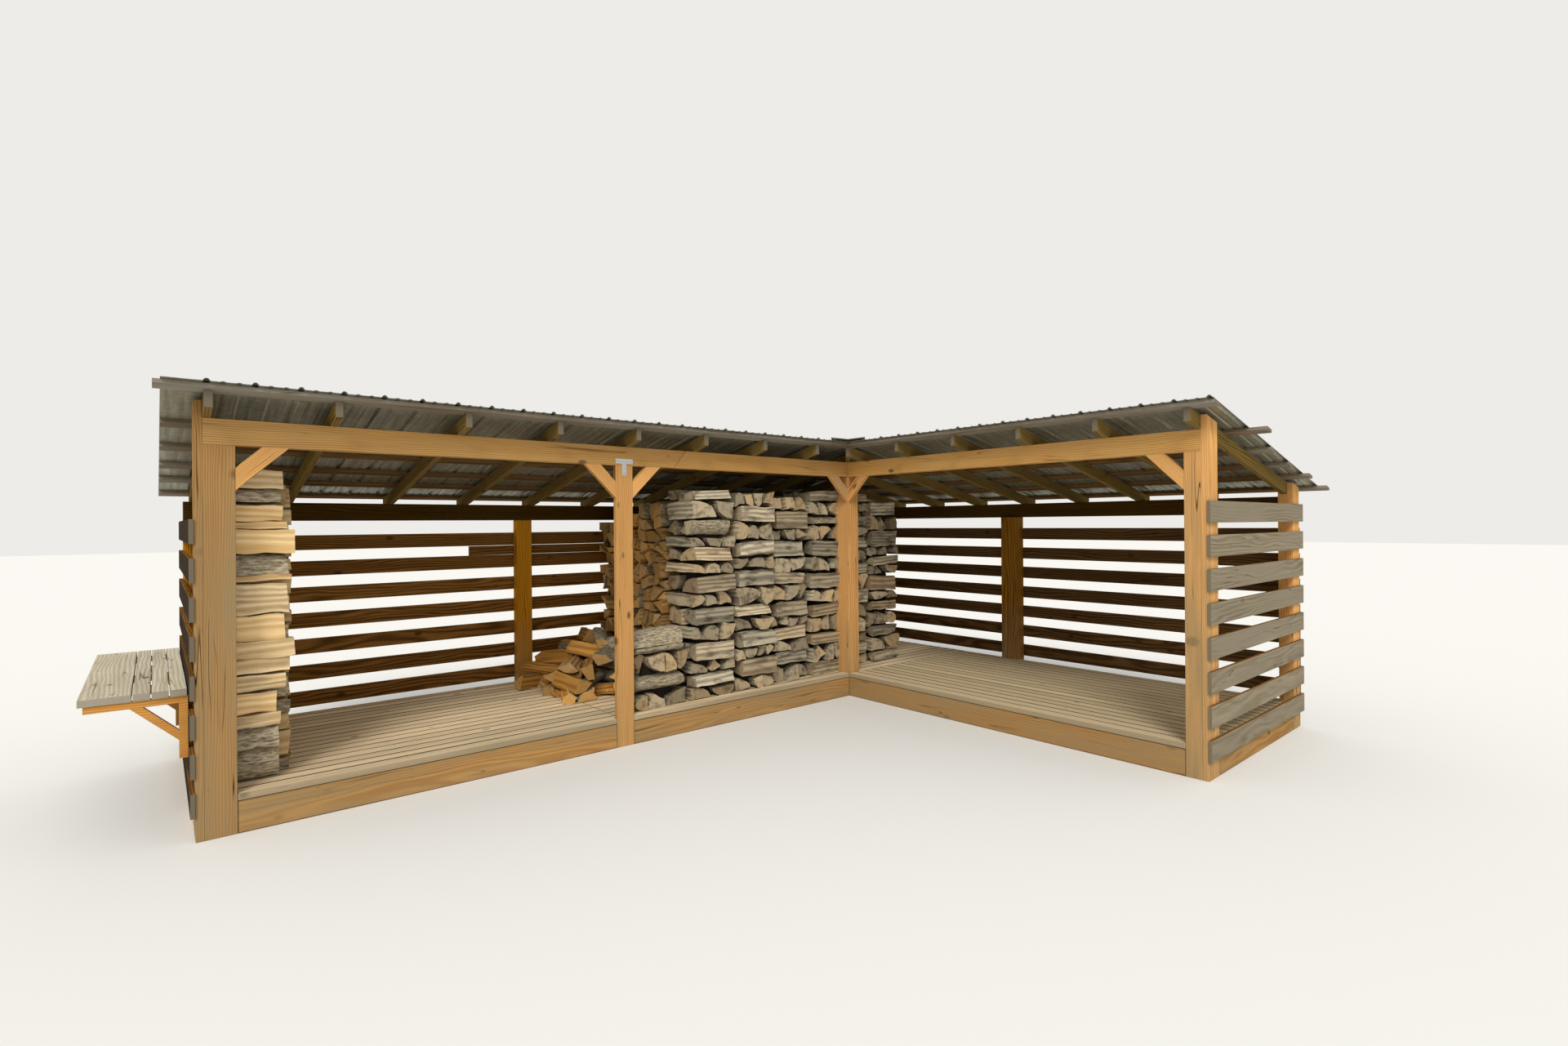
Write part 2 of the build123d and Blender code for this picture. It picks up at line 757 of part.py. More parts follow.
def stack_top(inward):
    return rafter_bottom(inward) - stack_headroom


def core(along, near, ends):
    """Plain inside of a tall stack; the ends say how far it stays behind each end's logs."""
    far = back_face - wall_clearance
    tops = [(at, stack_top(at) - log_proud) for at in (far, near + log_proud)]
    span = (along[0] + ends[0], along[1] - ends[1])
    return cut_timber("left", span, [(near + log_proud, deck_top), (far, deck_top), *tops])


def crib_columns(along, near, high, draw):
    """Crossed courses at the front of a stack: turn by turn one log side-on, or log ends."""
    columns = max(1, round(length(along) / crib_column))
    rows = max(1, round((high - deck_top) / tall_log_high))
    wide, tall = length(along) / columns, (high - deck_top) / rows
    logs, ends = [], []
    for column in range(columns):
        span = (along[0] + column * wide, along[0] + (column + 1) * wide)
        sides = []
        for row in range(rows):
            low = deck_top + row * tall
            if (row + column) % 2:
                lean = log_wide * draw.uniform(0, 0.6)
                deep = near + log_wide
                side = [(near, low), (deep, low), (deep, low + tall), (near + lean, low + tall)]
                sides.append(shrunk(side))
            else:
                count = max(1, round(wide / tall_log_wide))
                ends += log_ends(span, low, lambda at: low + tall, count, 1, draw)
        logs += logs_along((span[0] + log_gap, span[1] - log_gap), sides)
    return logs + logs_inward((near, near + log_wide), ends)


def crossed_courses(along, inward, high, draw):
    """Free-standing crib: courses along and across the wing in turn, round a core."""
    rows = max(1, round((high - deck_top) / log_high))
    tall = (high - deck_top) / rows
    outlines = {"along": [], "inward": []}
    for row in range(rows):
        low = deck_top + row * tall
        way, across = ("along", inward) if row % 2 else ("inward", along)
        count = max(1, round(length(across) / log_wide))
        outlines[way] += log_ends(across, low, lambda at: low + tall, count, 1, draw)
    inside = [(span[0] + log_proud, span[1] - log_proud) for span in (along, inward)]
    logs = [timber("left", *inside, (deck_top, high - log_proud))]
    return logs + logs_along(along, outlines["along"]) + logs_inward(inward, outlines["inward"])


def tumbled_logs(along, inward, height_at, draw):
    """Logs lying this way and that on a heap."""
    margin = log_length / 2
    with BuildPart() as logs:
        for index in range(heap_logs):
            at = along[0] + margin + (length(along) - 2 * margin) * index / (heap_logs - 1)
            deep = draw.uniform(inward[0] + margin, inward[1] - margin)
            place = (front - at, front + deep, deck_top + height_at(at))
            with Locations(Location(place, (draw.uniform(-8, 8), draw.uniform(-8, 8), draw.uniform(0, 180)))):
                Box(log_length * 0.9, log_high, log_high * draw.uniform(0.6, 0.9))
    return logs.part


def make_firewood():
    draw = random.Random(log_seed)
    far = back_face - wall_clearance
    behind_post = post_size + plank_clearance
    end_span = (left_post_outer - end_row_log, left_post_outer)
    with BuildPart() as firewood_end_row:
        ends = wall_of_ends((behind_post, far), stack_top, draw)
        span = (end_span[0], end_span[0] + log_length)
        add([core(end_span, behind_post, (log_proud, 0)), *logs_along(span, ends)])
    finish(firewood_end_row, "firewood_end_row")
    behind_crib = log_wide + log_gap
    with BuildPart() as firewood_main_stack:
        parts = []
        for along, near, ends in [((plank_clearance, stack_end), stack_front, (0, log_proud)),
                                  ((stack_start, plank_clearance), behind_post + ply, (log_proud, 0))]:
            parts += [core(along, near, ends), *crib_columns(along, near, stack_top(near), draw)]
            span = (along[1] - log_length, along[1]) if ends[1] else (along[0], along[0] + log_length)
            parts += logs_along(span, wall_of_ends((near + behind_crib, far), stack_top, draw))
        add(parts)
    finish(firewood_main_stack, "firewood_main_stack")
    crib_start = stack_end + crib_gap
    with BuildPart() as firewood_front_crib:
        add(crossed_courses((crib_start, crib_start + crib_log), (crib_front, crib_front + crib_deep),
                            deck_top + crib_high, draw))
    finish(firewood_front_crib, "firewood_front_crib")
    make_heap(draw)


def make_heap(draw):
    along = (stack_end + heap_gap, stack_end + heap_gap + heap_long)
    inward = (heap_near, back_face - wall_clearance)
    outline = [(along[0], deck_top), (along[1], deck_top)]
    outline += [(along[1], deck_top + heap_low), (along[0], deck_top + heap_high)]
    slide = (heap_high - heap_low) / heap_long
    with BuildPart() as firewood_heap:
        with BuildSketch(front_plane("left").offset(inward[0])):
            with BuildLine():
                Polyline(*outline, close=True)
            make_face()
        extrude(amount=length(inward), dir=inward_direction("left"))
        add(tumbled_logs(along, inward, lambda at: heap_high - slide * (at - along[0]), draw))
    finish(firewood_heap, "firewood_heap")


make_front_posts()
make_front_beams()
make_knee_braces()
make_back_posts()
make_back_beams()
make_rafters()
make_hip_rafter()
make_purlins()
make_roof_sheets()
make_hip_cap()
make_rims()
make_joists()
make_decks()
make_walls()
make_shelf()
make_tee_strap()
make_firewood()
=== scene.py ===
"""Looks of an L-shaped timber log store: weathered timbers, ribbed roof sheets and split firewood."""
import json
import math
import random

import bmesh
import bpy
from bpy.props import FloatProperty, FloatVectorProperty, IntProperty, PointerProperty
from bpy.types import Operator, Panel, PropertyGroup
from mathutils import Matrix, Vector, noise


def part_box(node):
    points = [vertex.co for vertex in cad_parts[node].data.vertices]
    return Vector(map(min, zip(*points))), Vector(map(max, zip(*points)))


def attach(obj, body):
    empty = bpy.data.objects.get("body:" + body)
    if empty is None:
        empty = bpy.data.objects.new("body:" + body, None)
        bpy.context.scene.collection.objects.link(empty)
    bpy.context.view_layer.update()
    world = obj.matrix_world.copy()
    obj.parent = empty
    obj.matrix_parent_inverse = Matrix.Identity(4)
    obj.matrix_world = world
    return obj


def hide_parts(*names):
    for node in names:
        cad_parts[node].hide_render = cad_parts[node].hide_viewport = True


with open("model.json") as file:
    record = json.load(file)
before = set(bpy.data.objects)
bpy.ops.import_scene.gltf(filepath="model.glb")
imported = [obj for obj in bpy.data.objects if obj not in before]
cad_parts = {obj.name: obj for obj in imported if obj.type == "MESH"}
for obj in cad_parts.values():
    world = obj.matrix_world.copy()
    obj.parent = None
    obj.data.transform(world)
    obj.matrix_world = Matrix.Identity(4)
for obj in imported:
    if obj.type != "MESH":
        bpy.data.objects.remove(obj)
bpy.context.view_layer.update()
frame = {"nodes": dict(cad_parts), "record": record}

bl_info = {
    "name": "Log Store",
    "version": (1, 0, 0),
    "blender": (4, 5, 0),
    "location": "View3D > Sidebar > Log Store",
    "description": "Finishes the timbers, roof and firewood of an open log store",
    "category": "Object",
}

SPLIT, BARK, LOG_END, SHADOW = range(4)
SIDE, SAWN_END, OUTSIDE = range(3)
HALF, QUARTER, WEDGE, SLAB, ROUND = range(5)
UP = Vector((0, 0, 1))
EAST = Vector((1, 0, 0))
NORTH = Vector((0, 1, 0))
SHARP = math.radians(34)
WELD = 1e-5              # corners nearer than this are one corner
DULL = 0.0               # gloss of bare wood
KNOT_SHARE = 0.8         # how far a knot covers the wood's colour
AGE_SHARE = 0.6          # how much of its silver a fully aged place adds
PALE_EDGE = 0.35         # how far a worn edge takes the silver's colour
DUST_ROUGHNESS = 0.35    # what dust adds to the sheets' roughness
SCREW_SIDES = 8
HEAD_PROUD = 0.0008      # height of a wood screw's head, which is sunk by as much
WASHER_PROUD = 0.004     # height of a roof screw's head and washer
STRAP_FACE = 0.001       # how deep the strap's screws sit behind its face
BESIDE_RIB = 0.17        # a roof screw's place beside its tall rib, as a share of the pitch
HIP_CLEAR = 0.2          # the roof screws stop this far from the hip
CROSSING = (0.015, 0.03)     # least overlap of a board and a timber that takes screws
CRIB_CORE = 0.1          # how far a crib's dark block lies behind its logs
ROW_CORE = (0.09, 0.02, 0.05)    # the same in the rows: at the ends, behind and on top
ENDWISE = 0.7            # a face turned this far towards the grain is a sawn end
OUTDOORS = 0.5           # a side turned this far outward is weathered
EAVE, VERGE = 0.15, 0.12     # how far in the roof laths are weathered
LAMP_WAY = Vector((0.58, 0.6, -0.8))


def tint(name, words, red, green, blue):
    """Colour property given in the 0 to 255 values of a paint chart."""
    return FloatVectorProperty(name=name, description=words, subtype="COLOR_GAMMA", size=3, min=0, max=1,
                               default=(red / 255, green / 255, blue / 255))


def distance(name, words, metres):
    return FloatProperty(name=name, description=words, default=metres, min=0, subtype="DISTANCE", unit="LENGTH")


# Woods: name, where it is, and the colours of its early and its late wood
WOODS = {
    "post": ("Post", "the posts", (236, 182, 113), (202, 141, 79)),
    "old_post": ("Old post", "the left end post", (181, 139, 87), (146, 106, 60)),
    "beam": ("Beam", "the front beams", (222, 174, 98), (178, 124, 60)),
    # Rafters: darker than the beams' wood for the shade under the roof, painted shade; the joists take these
    # colours too
    "rafter": ("Rafter", "the timbers under the roof", (152, 126, 68), (94, 74, 34)),
    "purlin": ("Purlin", "the roof laths", (132, 100, 54), (78, 56, 26)),
    "rim": ("Rim", "the deck rims", (212, 164, 98), (168, 118, 62)),
    # Right wing's rims: a darker copy of the rims' colours, painted shade
    "dim_rim": ("Right rim", "the right wing's rims", (178, 136, 82), (134, 96, 52)),
    "deck": ("Deck", "the left deck", (255, 234, 198), (246, 216, 172)),
    # Right deck: a darker copy of the deck's colours, painted shade
    "dim_deck": ("Right deck", "the right deck", (220, 202, 166), (186, 164, 128)),
    "slat": ("Slat", "the wall slats' inner faces", (158, 113, 58), (78, 51, 20)),
    # Right wing's back slats, inside: a darker copy of the slats' colours, painted shade
    "dim_slat": ("Dim slat", "the right wing's back slats, inside", (112, 84, 50), (56, 40, 22)),
    "outer": ("Outer slat", "the slats' outsides", (160, 150, 128), (98, 88, 68)),
    "shelf": ("Shelf", "the shelf", (236, 228, 208), (190, 178, 154)),
    "bracket": ("Bracket", "the shelf brackets", (232, 170, 88), (188, 124, 54)),
    "split": ("Split wood", "the split firewood", (236, 192, 116), (168, 114, 52)),
    "pale": ("Pale split", "the firewood at the left end, in the sun", (246, 218, 166), (208, 168, 110)),
    "heap": ("Heap", "the heap's firewood, in the shade", (222, 168, 88), (150, 98, 42)),
    # Back posts: deep orange with little blue, painted greenish reflected light and shade at the back of the
    # store
    "back_post": ("Back post", "the back posts", (240, 170, 48), (168, 108, 18)),
    # Right wing's middle back post and outer corner post: a darker copy of the back posts' colours, painted shade
    "dim_post": ("Dim post", "the right wing's middle back post", (176, 124, 46), (106, 70, 18)),
    # Back beams: colours darkened for the shade at the back of the store, painted shade
    "back_beam": ("Back beam", "the back beams", (84, 60, 22), (48, 34, 8)),
}


class LogStoreColours(PropertyGroup):
    silver: tint("Silvered wood", "Wood that sun and rain have greyed", 152, 142, 120)
    post_silver: tint("Weathered posts", "What rain has left of the posts' colour", 146, 126, 92)
    rim_silver: tint("Weathered rims", "Lower boards of the rims", 150, 126, 90)
    deck_silver: tint("Weathered deck", "Bleached and trodden deck boards", 200, 181, 148)
    lath_silver: tint("Weathered laths", "Roof laths outside the roof's timbers", 150, 148, 138)
    slat_silver: tint("Weathered slats", "Outsides of the walls", 136, 126, 108)
    slat_black: tint("Blackened slats", "Outside of the left end wall", 60, 57, 51)
    weathered_end: tint("Weathered end", "Sawn ends that have greyed", 108, 98, 80)
    knot: tint("Knot", "Knots in the sawn timber", 70, 40, 18)
    log_end: tint("Log end", "Sawn ends of the firewood", 226, 178, 106)
    log_heart: tint("Log heart", "Rings and checks in the sawn ends", 96, 64, 28)
    log_grey: tint("Weathered log", "Split wood that has greyed in the open", 208, 196, 170)
    end_grey: tint("Weathered log end", "Sawn ends of the firewood that have greyed", 178, 164, 138)
    log_grey_dark: tint("Weathered log dark", "Grooves and mould on the greyed wood", 64, 58, 48)
    # Dirt colour of the boards' edges, which also paints the shade in the gaps between the boards
    dirt: tint("Dirt", "Dirt in the gaps between the boards", 44, 34, 22)
    stack_shadow: tint("Stack shadow", "What shows between the stacked logs", 26, 19, 12)
    crack: tint("Crack", "Drying cracks in the timbers", 58, 36, 18)
    screw_head: tint("Screw head", "Weathered screw heads", 70, 64, 56)
    bark: tint("Bark", "Bark ridges", 188, 175, 148)
    bark_groove: tint("Bark groove", "Furrows between the bark ridges", 84, 71, 54)
    # Under the roof the sheets take this darker, warmer grey and on top the lighter one below: the difference is
    # painted shade under the roof
    sheet: tint("Roof sheet", "Dull galvanised steel under the roof", 150, 148, 126)
    sheet_top: tint("Roof top", "Galvanised steel that the rain has washed", 172, 175, 176)
    sheet_dirt: tint("Roof dirt", "Dust and algae on the sheets", 108, 102, 80)
    strap: tint("Strap", "Bright galvanised strap", 204, 206, 206)
    floor: tint("Floor", "Plain studio floor", 228, 228, 226)


for wood, (label, words, light, dark) in WOODS.items():
    LogStoreColours.__annotations__[wood + "_light"] = tint(label + " light", "Early wood of " + words, *light)
    LogStoreColours.__annotations__[wood + "_dark"] = tint(label + " dark", "Late wood of " + words, *dark)


class LogStoreSizes(PropertyGroup):
    edge_round: distance("Edge round", "Rounding of the timbers' edges", 0.003)
    board_round: distance("Board round", "Rounding of the thin boards' edges", 0.002)
    span: distance("Span", "Spacing of the cuts that let a board bend", 0.45)
    sag: distance("Sag", "How far a long board is bowed", 0.002)
    log_gap: distance("Log gap", "Space round each split log", 0.006)
    log_wide: distance("Log width", "Usual width of a split log", 0.128)
    course: distance("Course", "Usual height of a course of logs", 0.108)
    crib_log_wide: distance("Crib log width", "Usual width of a log in the cribs", 0.15)
    crib_course: distance("Crib course", "Usual height of a crib's course", 0.128)
    end_spread: distance("End spread", "How unevenly the log ends line up", 0.03)
    wall_spread: distance("Wall spread", "How far back the ends of the stacked rows lie", 0.1)
    crib_wide: distance("Crib width", "Width of one crib column of the main stack", 0.455)
    splash: distance("Splash height", "How high rain splashes have greyed the posts", 0.7)
    dry_top: distance("Dry top", "Height over which the left end post has kept its colour", 1.85)
    right_dry_top: distance("Right dry top", "Height over which the right end post has kept its colour", 2.1)
    low_rim: distance("Lower rim", "Height of the rims' lower boards", 0.089)
    # The rounded edges of rims and deck boards take dirt and painted shade of the gaps between boards
    rim_round: distance("Rim edge round", "Rounding of the rims' soiled edges", 0.007)
    open_deck: distance("Open deck", "How far in the deck is bleached", 0.3)
    deck_round: distance("Deck edge round", "Rounding of the deck boards' soiled edges", 0.005)
    tear: distance("Tear", "How far the torn fibres of a log leave its section", 0.016)
    log_lump: distance("Log unevenness", "How far a split face leaves its plane", 0.006)
    roof_screw: distance("Roof screw", "Width of a roof screw's washer", 0.018)
    wood_screw: distance("Wood screw", "Width of a wood screw's head", 0.009)
    screw_apart: distance("Screw spacing", "Space between the two screws of a crossing", 0.055)
    rib_pitch: distance("Rib pitch", "Spacing of the roof sheets' tall ribs", 0.203)
    left_rib: distance("Left end rib", "Left roof's open end to its first rib", 0.18)
    right_rib: distance("Right end rib", "Right roof's open end to its first rib", 0.022)
    strap_bar: distance("Strap bar", "Width of the tee strap's two bars", 0.038)
    seed: IntProperty(name="Seed", description="Start of every random draw", default=7)


class LogStoreView(PropertyGroup):
    east: FloatProperty(name="Camera X", description="Camera place", default=-5.1249, unit="LENGTH")
    north: FloatProperty(name="Camera Y", description="Camera place", default=-5.0074, unit="LENGTH")
    height: FloatProperty(name="Camera height", description="Eye level", default=1.656, unit="LENGTH")
    heading: FloatProperty(name="Heading", description="Turn from +X", default=0.8608, subtype="ANGLE")
    climb: FloatProperty(name="Climb", description="Tilt over the horizon", default=0.0008, subtype="ANGLE")
    roll: FloatProperty(name="Roll", description="Lean of the camera", default=-0.0073, subtype="ANGLE")
    lens: FloatProperty(name="Lens", description="Focal length in millimetres", default=16.825)
    lamp: FloatProperty(name="Lamp strength", description="Strength of the soft key lamp", default=1.8)
    sky: FloatProperty(name="Sky strength", description="Strength of the even light", default=0.85)


def linear(colour):
    """Colour of a property as the linear value that a shader takes."""
    return tuple(c / 12.92 if c <= 0.04045 else ((c + 0.055) / 1.055) ** 2.4 for c in colour) + (1.0,)


# Shader helpers: each value is a plain one or the output of another node
def feed(socket, value):
    """Write a plain value into an input, or wire an output to it."""
    if isinstance(value, bpy.types.NodeSocket):
        socket.id_data.links.new(value, socket)
    else:
        socket.default_value = value


def node(tree, kind, at, inputs=None, **settings):
    made = tree.nodes.new(kind)
    made.location = (at[0] * 200, at[1] * -160)
    for key, value in settings.items():
        setattr(made, key, value)
    for key, value in (inputs or {}).items():
        feed(made.inputs[key], value)
    return made


def maths(tree, operation, *values, at=(0, 0), clamp=False):
    made = node(tree, "ShaderNodeMath", at, dict(enumerate(values)), operation=operation, use_clamp=clamp)
    return made.outputs[0]


def blend(tree, share, first, second, at=(0, 0)):
    """Colour between two colours."""
    return node(tree, "ShaderNodeMix", at, {0: share, 6: first, 7: second}, data_type="RGBA").outputs[2]


def brighten(tree, colour, factor, at):
    return node(tree, "ShaderNodeVectorMath", at, {0: colour, "Scale": factor}, operation="SCALE").outputs[0]


def stretch(tree, vector, scale, at):
    return node(tree, "ShaderNodeVectorMath", at, {0: vector, 1: scale}, operation="MULTIPLY").outputs[0]


def ranged(tree, value, start=0.0, end=1.0, low=0.0, high=1.0, at=(0, 0), **settings):
    """Value taken from one range, start to end, to another, low to high."""
    inputs = {"Value": value, "From Min": start, "From Max": end, "To Min": low, "To Max": high}
    return node(tree, "ShaderNodeMapRange", at, inputs, **settings).outputs["Result"]


def cloud(tree, vector, scale, detail, roughness=0.5, at=(0, 0)):
    """Noise, in patches that three scales stretch along the axes."""
    if isinstance(scale, tuple):
        vector, scale = stretch(tree, vector, scale, (at[0] - 1, at[1])), 1.0
    inputs = {"Vector": vector, "Scale": scale, "Detail": detail, "Roughness": roughness}
    return node(tree, "ShaderNodeTexNoise", at, inputs).outputs


def year_rings(tree, vector, scale, distortion, detail, detail_scale=1.0, at=(0, 0)):
    """Growth rings round the X axis."""
    inputs = {"Vector": vector, "Scale": scale, "Distortion": distortion, "Detail": detail,
              "Detail Scale": detail_scale}
    return node(tree, "ShaderNodeTexWave", at, inputs, wave_type="RINGS", rings_direction="X").outputs["Fac"]


def first_channel(tree, colour, at):
    return node(tree, "ShaderNodeSeparateColor", at, {0: colour}).outputs[0]


def read(tree, name, at):
    """Value that the mesh carries at each corner."""
    return node(tree, "ShaderNodeAttribute", at, attribute_name=name).outputs


def group(name, inputs, outputs):
    """Empty shader node group with its sockets, what it is given and what it puts out."""
    tree = bpy.data.node_groups.new(name, "ShaderNodeTree")
    for label, (kind, default) in inputs.items():
        socket = tree.interface.new_socket(name=label, in_out="INPUT", socket_type=kind)
        if default is not None:
            socket.default_value = default
    for label, kind in outputs.items():
        tree.interface.new_socket(name=label, in_out="OUTPUT", socket_type=kind)
    return tree, node(tree, "NodeGroupInput", (-6, 0)).outputs, node(tree, "NodeGroupOutput", (6, 0)).inputs


def use_group(tree, name, at, inputs):
    return node(tree, "ShaderNodeGroup", at, inputs, node_tree=bpy.data.node_groups[name]).outputs


COLOUR, VALUE, VECTOR = "NodeSocketColor", "NodeSocketFloat", "NodeSocketVector"
ANY_COLOUR = (COLOUR, (0.5, 0.5, 0.5, 1.0))
PLACE = (VECTOR, None)


def build_sawn_grain():
    """Long grain of sawn timber: growth rings cut lengthwise and fine fibres."""
    tree, given, out = group("Sawn Grain", {"Vector": PLACE, "Light": ANY_COLOUR, "Dark": ANY_COLOUR,
                                            "Tone": (VALUE, 0.5), "Ring Width": (VALUE, 1.0)},
                             {"Color": COLOUR, "Height": VALUE})
    place = given["Vector"]
    drift = cloud(tree, place, (0.9, 5.0, 5.0), 2.0, at=(-4, 1))["Color"]
    straight = stretch(tree, place, (0.03, 1.0, 1.0), (-4, 2))
    bent = node(tree, "ShaderNodeVectorMath", (-3, 1), {0: drift, 1: (0.0, 0.09, 0.09), 2: straight},
                operation="MULTIPLY_ADD").outputs[0]
    spacing = maths(tree, "MULTIPLY", given["Ring Width"], 26.0, at=(-3, 2))
    rings = year_rings(tree, bent, spacing, 1.6, 2.0, 1.2, at=(-2, 1))
    fibre = cloud(tree, place, (7.0, 210.0, 210.0), 3.0, at=(-2, -1))["Fac"]
    broad = cloud(tree, place, (1.1, 16.0, 16.0), 2.0, at=(-2, -2))["Fac"]
    fine = maths(tree, "MULTIPLY_ADD", fibre, 0.40, maths(tree, "MULTIPLY", rings, 0.42, at=(-1, 1)))
    total = maths(tree, "MULTIPLY_ADD", broad, 0.45, fine, at=(1, 0))
    late = ranged(tree, total, 0.28, 0.95, at=(2, 0))
    wood = blend(tree, late, given["Light"], given["Dark"], at=(3, 0))
    tone = ranged(tree, given["Tone"], low=0.78, high=1.12, at=(2, 2))
    feed(out["Color"], brighten(tree, wood, tone, (4, 0)))
    feed(out["Height"], total)


def build_knots():
    """Oval knots, here and there along a board."""
    tree, given, out = group("Knots", {"Vector": PLACE, "Amount": (VALUE, 0.3)}, {"Mask": VALUE})
    place = stretch(tree, given["Vector"], (4.0, 7.5, 3.0), (-4, 0))
    cells = node(tree, "ShaderNodeTexVoronoi", (-3, 0), {"Vector": place, "Scale": 1.0}).outputs
    spot = ranged(tree, cells["Distance"], 0.07, 0.18, 1.0, 0.0, at=(-1, 0), interpolation_type="SMOOTHSTEP")
    draw = first_channel(tree, cells["Color"], (-2, 2))
    chosen = maths(tree, "LESS_THAN", draw, given["Amount"], at=(-1, 2))
    feed(out["Mask"], maths(tree, "MULTIPLY", spot, chosen, at=(1, 0)))


def build_cracks():
    """Thin drying cracks along the grain."""
    tree, given, out = group("Cracks", {"Vector": PLACE, "Amount": (VALUE, 0.5)}, {"Mask": VALUE})
    line = cloud(tree, given["Vector"], (0.7, 17.0, 17.0), 1.0, at=(-3, 0))["Fac"]
    far = maths(tree, "ABSOLUTE", maths(tree, "SUBTRACT", line, 0.5, at=(-2, 0)), at=(-1, 0))
    thin = ranged(tree, far, 0.002, 0.010, 1.0, 0.0)
    patch = cloud(tree, given["Vector"], (1.6, 9.0, 9.0), 2.0, at=(-3, 2))["Fac"]
    both = maths(tree, "MULTIPLY", thin, ranged(tree, patch, 0.48, 0.56, at=(-1, 2)), at=(1, 0))
    feed(out["Mask"], maths(tree, "MULTIPLY", both, given["Amount"], at=(2, 0)))


def build_silvering():
    """Grey weathering in long streaks and blotches over a base colour."""
    tree, given, out = group("Silvering", {"Vector": PLACE, "Color": ANY_COLOUR, "Silver": ANY_COLOUR,
                                           "Amount": (VALUE, 0.3)}, {"Color": COLOUR})
    streak = cloud(tree, given["Vector"], (1.3, 19.0, 19.0), 4.0, at=(-3, 1))["Fac"]
    patch = cloud(tree, given["Vector"], (0.8, 3.0, 3.0), 3.0, at=(-3, -1))["Fac"]
    both = maths(tree, "ADD", streak, patch, at=(-2, 0))
    share = ranged(tree, both, 0.72, 1.25, 0.3, 1.35, at=(-1, 0))
    mask = maths(tree, "MULTIPLY", share, given["Amount"], clamp=True)
    feed(out["Color"], blend(tree, mask, given["Color"], given["Silver"], at=(2, 0)))


def build_log_tone():
    """Each log's own brightness, how far it has greyed, and the mould on what has greyed."""
    tree, given, out = group("Log Tone", {"Vector": PLACE, "Color": ANY_COLOUR, "Figure": (VALUE, 0.5),
                                          "Grey": ANY_COLOUR, "Grey Dark": ANY_COLOUR, "Tone": (VALUE, 0.5),
                                          "Age": (VALUE, 0.5)}, {"Color": COLOUR})
    figure = ranged(tree, given["Figure"], 0.42, 0.85, high=0.6, at=(-4, 1))
    grey = blend(tree, figure, given["Grey"], given["Grey Dark"], at=(-3, 1))
    aged = blend(tree, given["Age"], given["Color"], grey, at=(-2, 0))
    mould = cloud(tree, given["Vector"], (5.0, 16.0, 16.0), 5.0, 0.6, at=(-4, -2))["Fac"]
    spread = ranged(tree, mould, 0.50, 0.66, high=0.75, at=(-3, -2))
    share = maths(tree, "MULTIPLY", spread, given["Age"], at=(-2, -2))
    stained = blend(tree, share, aged, given["Grey Dark"], at=(-1, 0))
    tone = ranged(tree, given["Tone"], low=0.56, high=1.2, at=(-2, 2))
    feed(out["Color"], brighten(tree, stained, tone, (0, 0)))


# Materials
def start_material(name, roughness, gloss=0.5):
    """New material, its node tree and its shader's inputs."""
    material = bpy.data.materials.new(name)
    material.use_nodes = True
    shader = material.node_tree.nodes["Principled BSDF"].inputs
    shader["Roughness"].default_value = roughness
    shader["Specular IOR Level"].default_value = gloss
    return material, material.node_tree, shader


def add_bump(tree, shader, height, strength, depth):
    inputs = {"Height": height, "Strength": strength, "Distance": depth}
    feed(shader["Normal"], node(tree, "ShaderNodeBump", (4, 3), inputs).outputs["Normal"])


def timber_material(name, light, dark, silvering, silver_tint=None, knots=0.35, roughness=0.72, rings=1.0,
                    cracks=0.5, soil=0.0):
    """Long-grain faces of a sawn timber; a soil share darkens its edges with dirt and with painted shade of the
    gaps between boards, and otherwise they are worn pale.
    """
    colours = bpy.context.scene.log_store_colours
    silver_tint = silver_tint or colours.silver
    material, tree, shader = start_material(name, roughness, DULL)
    grain = read(tree, "grain", (-6, 0))["Vector"]
    tone = read(tree, "tone", (-6, 2))["Fac"]
    wood = use_group(tree, "Sawn Grain", (-4, 0), {"Vector": grain, "Light": linear(light), "Dark": linear(dark),
                                                   "Tone": tone, "Ring Width": rings})
    knot = use_group(tree, "Knots", (-4, 3), {"Vector": grain, "Amount": knots})["Mask"]
    knotted = blend(tree, maths(tree, "MULTIPLY", knot, KNOT_SHARE, at=(-2, 3)), wood["Color"],
                    linear(colours.knot), at=(-1, 0))
    age = maths(tree, "MULTIPLY_ADD", read(tree, "age", (-6, 5))["Fac"], AGE_SHARE, silvering, at=(-1, 4))
    silver = use_group(tree, "Silvering", (0, 0), {"Vector": grain, "Color": knotted, "Amount": age,
                                                   "Silver": linear(silver_tint)})["Color"]
    crack = use_group(tree, "Cracks", (0, 3), {"Vector": grain, "Amount": cracks})["Mask"]
    cracked = blend(tree, crack, silver, linear(colours.crack), at=(1, 0))
    # With a soil share the edges take the dirt colour, dirt and painted shade of the gaps between boards;
    # otherwise they are worn pale
    edge_share = soil if soil else PALE_EDGE
    edge_colour = colours.dirt if soil else silver_tint
    edge_mark = maths(tree, "MULTIPLY", read(tree, "edge", (-6, 4))["Fac"], edge_share, at=(1, 3))
    feed(shader["Base Color"], blend(tree, edge_mark, cracked, linear(edge_colour), at=(2, 0)))
    add_bump(tree, shader, maths(tree, "SUBTRACT", wood["Height"], crack, at=(3, 2)), 0.5, 0.0016)
    return material


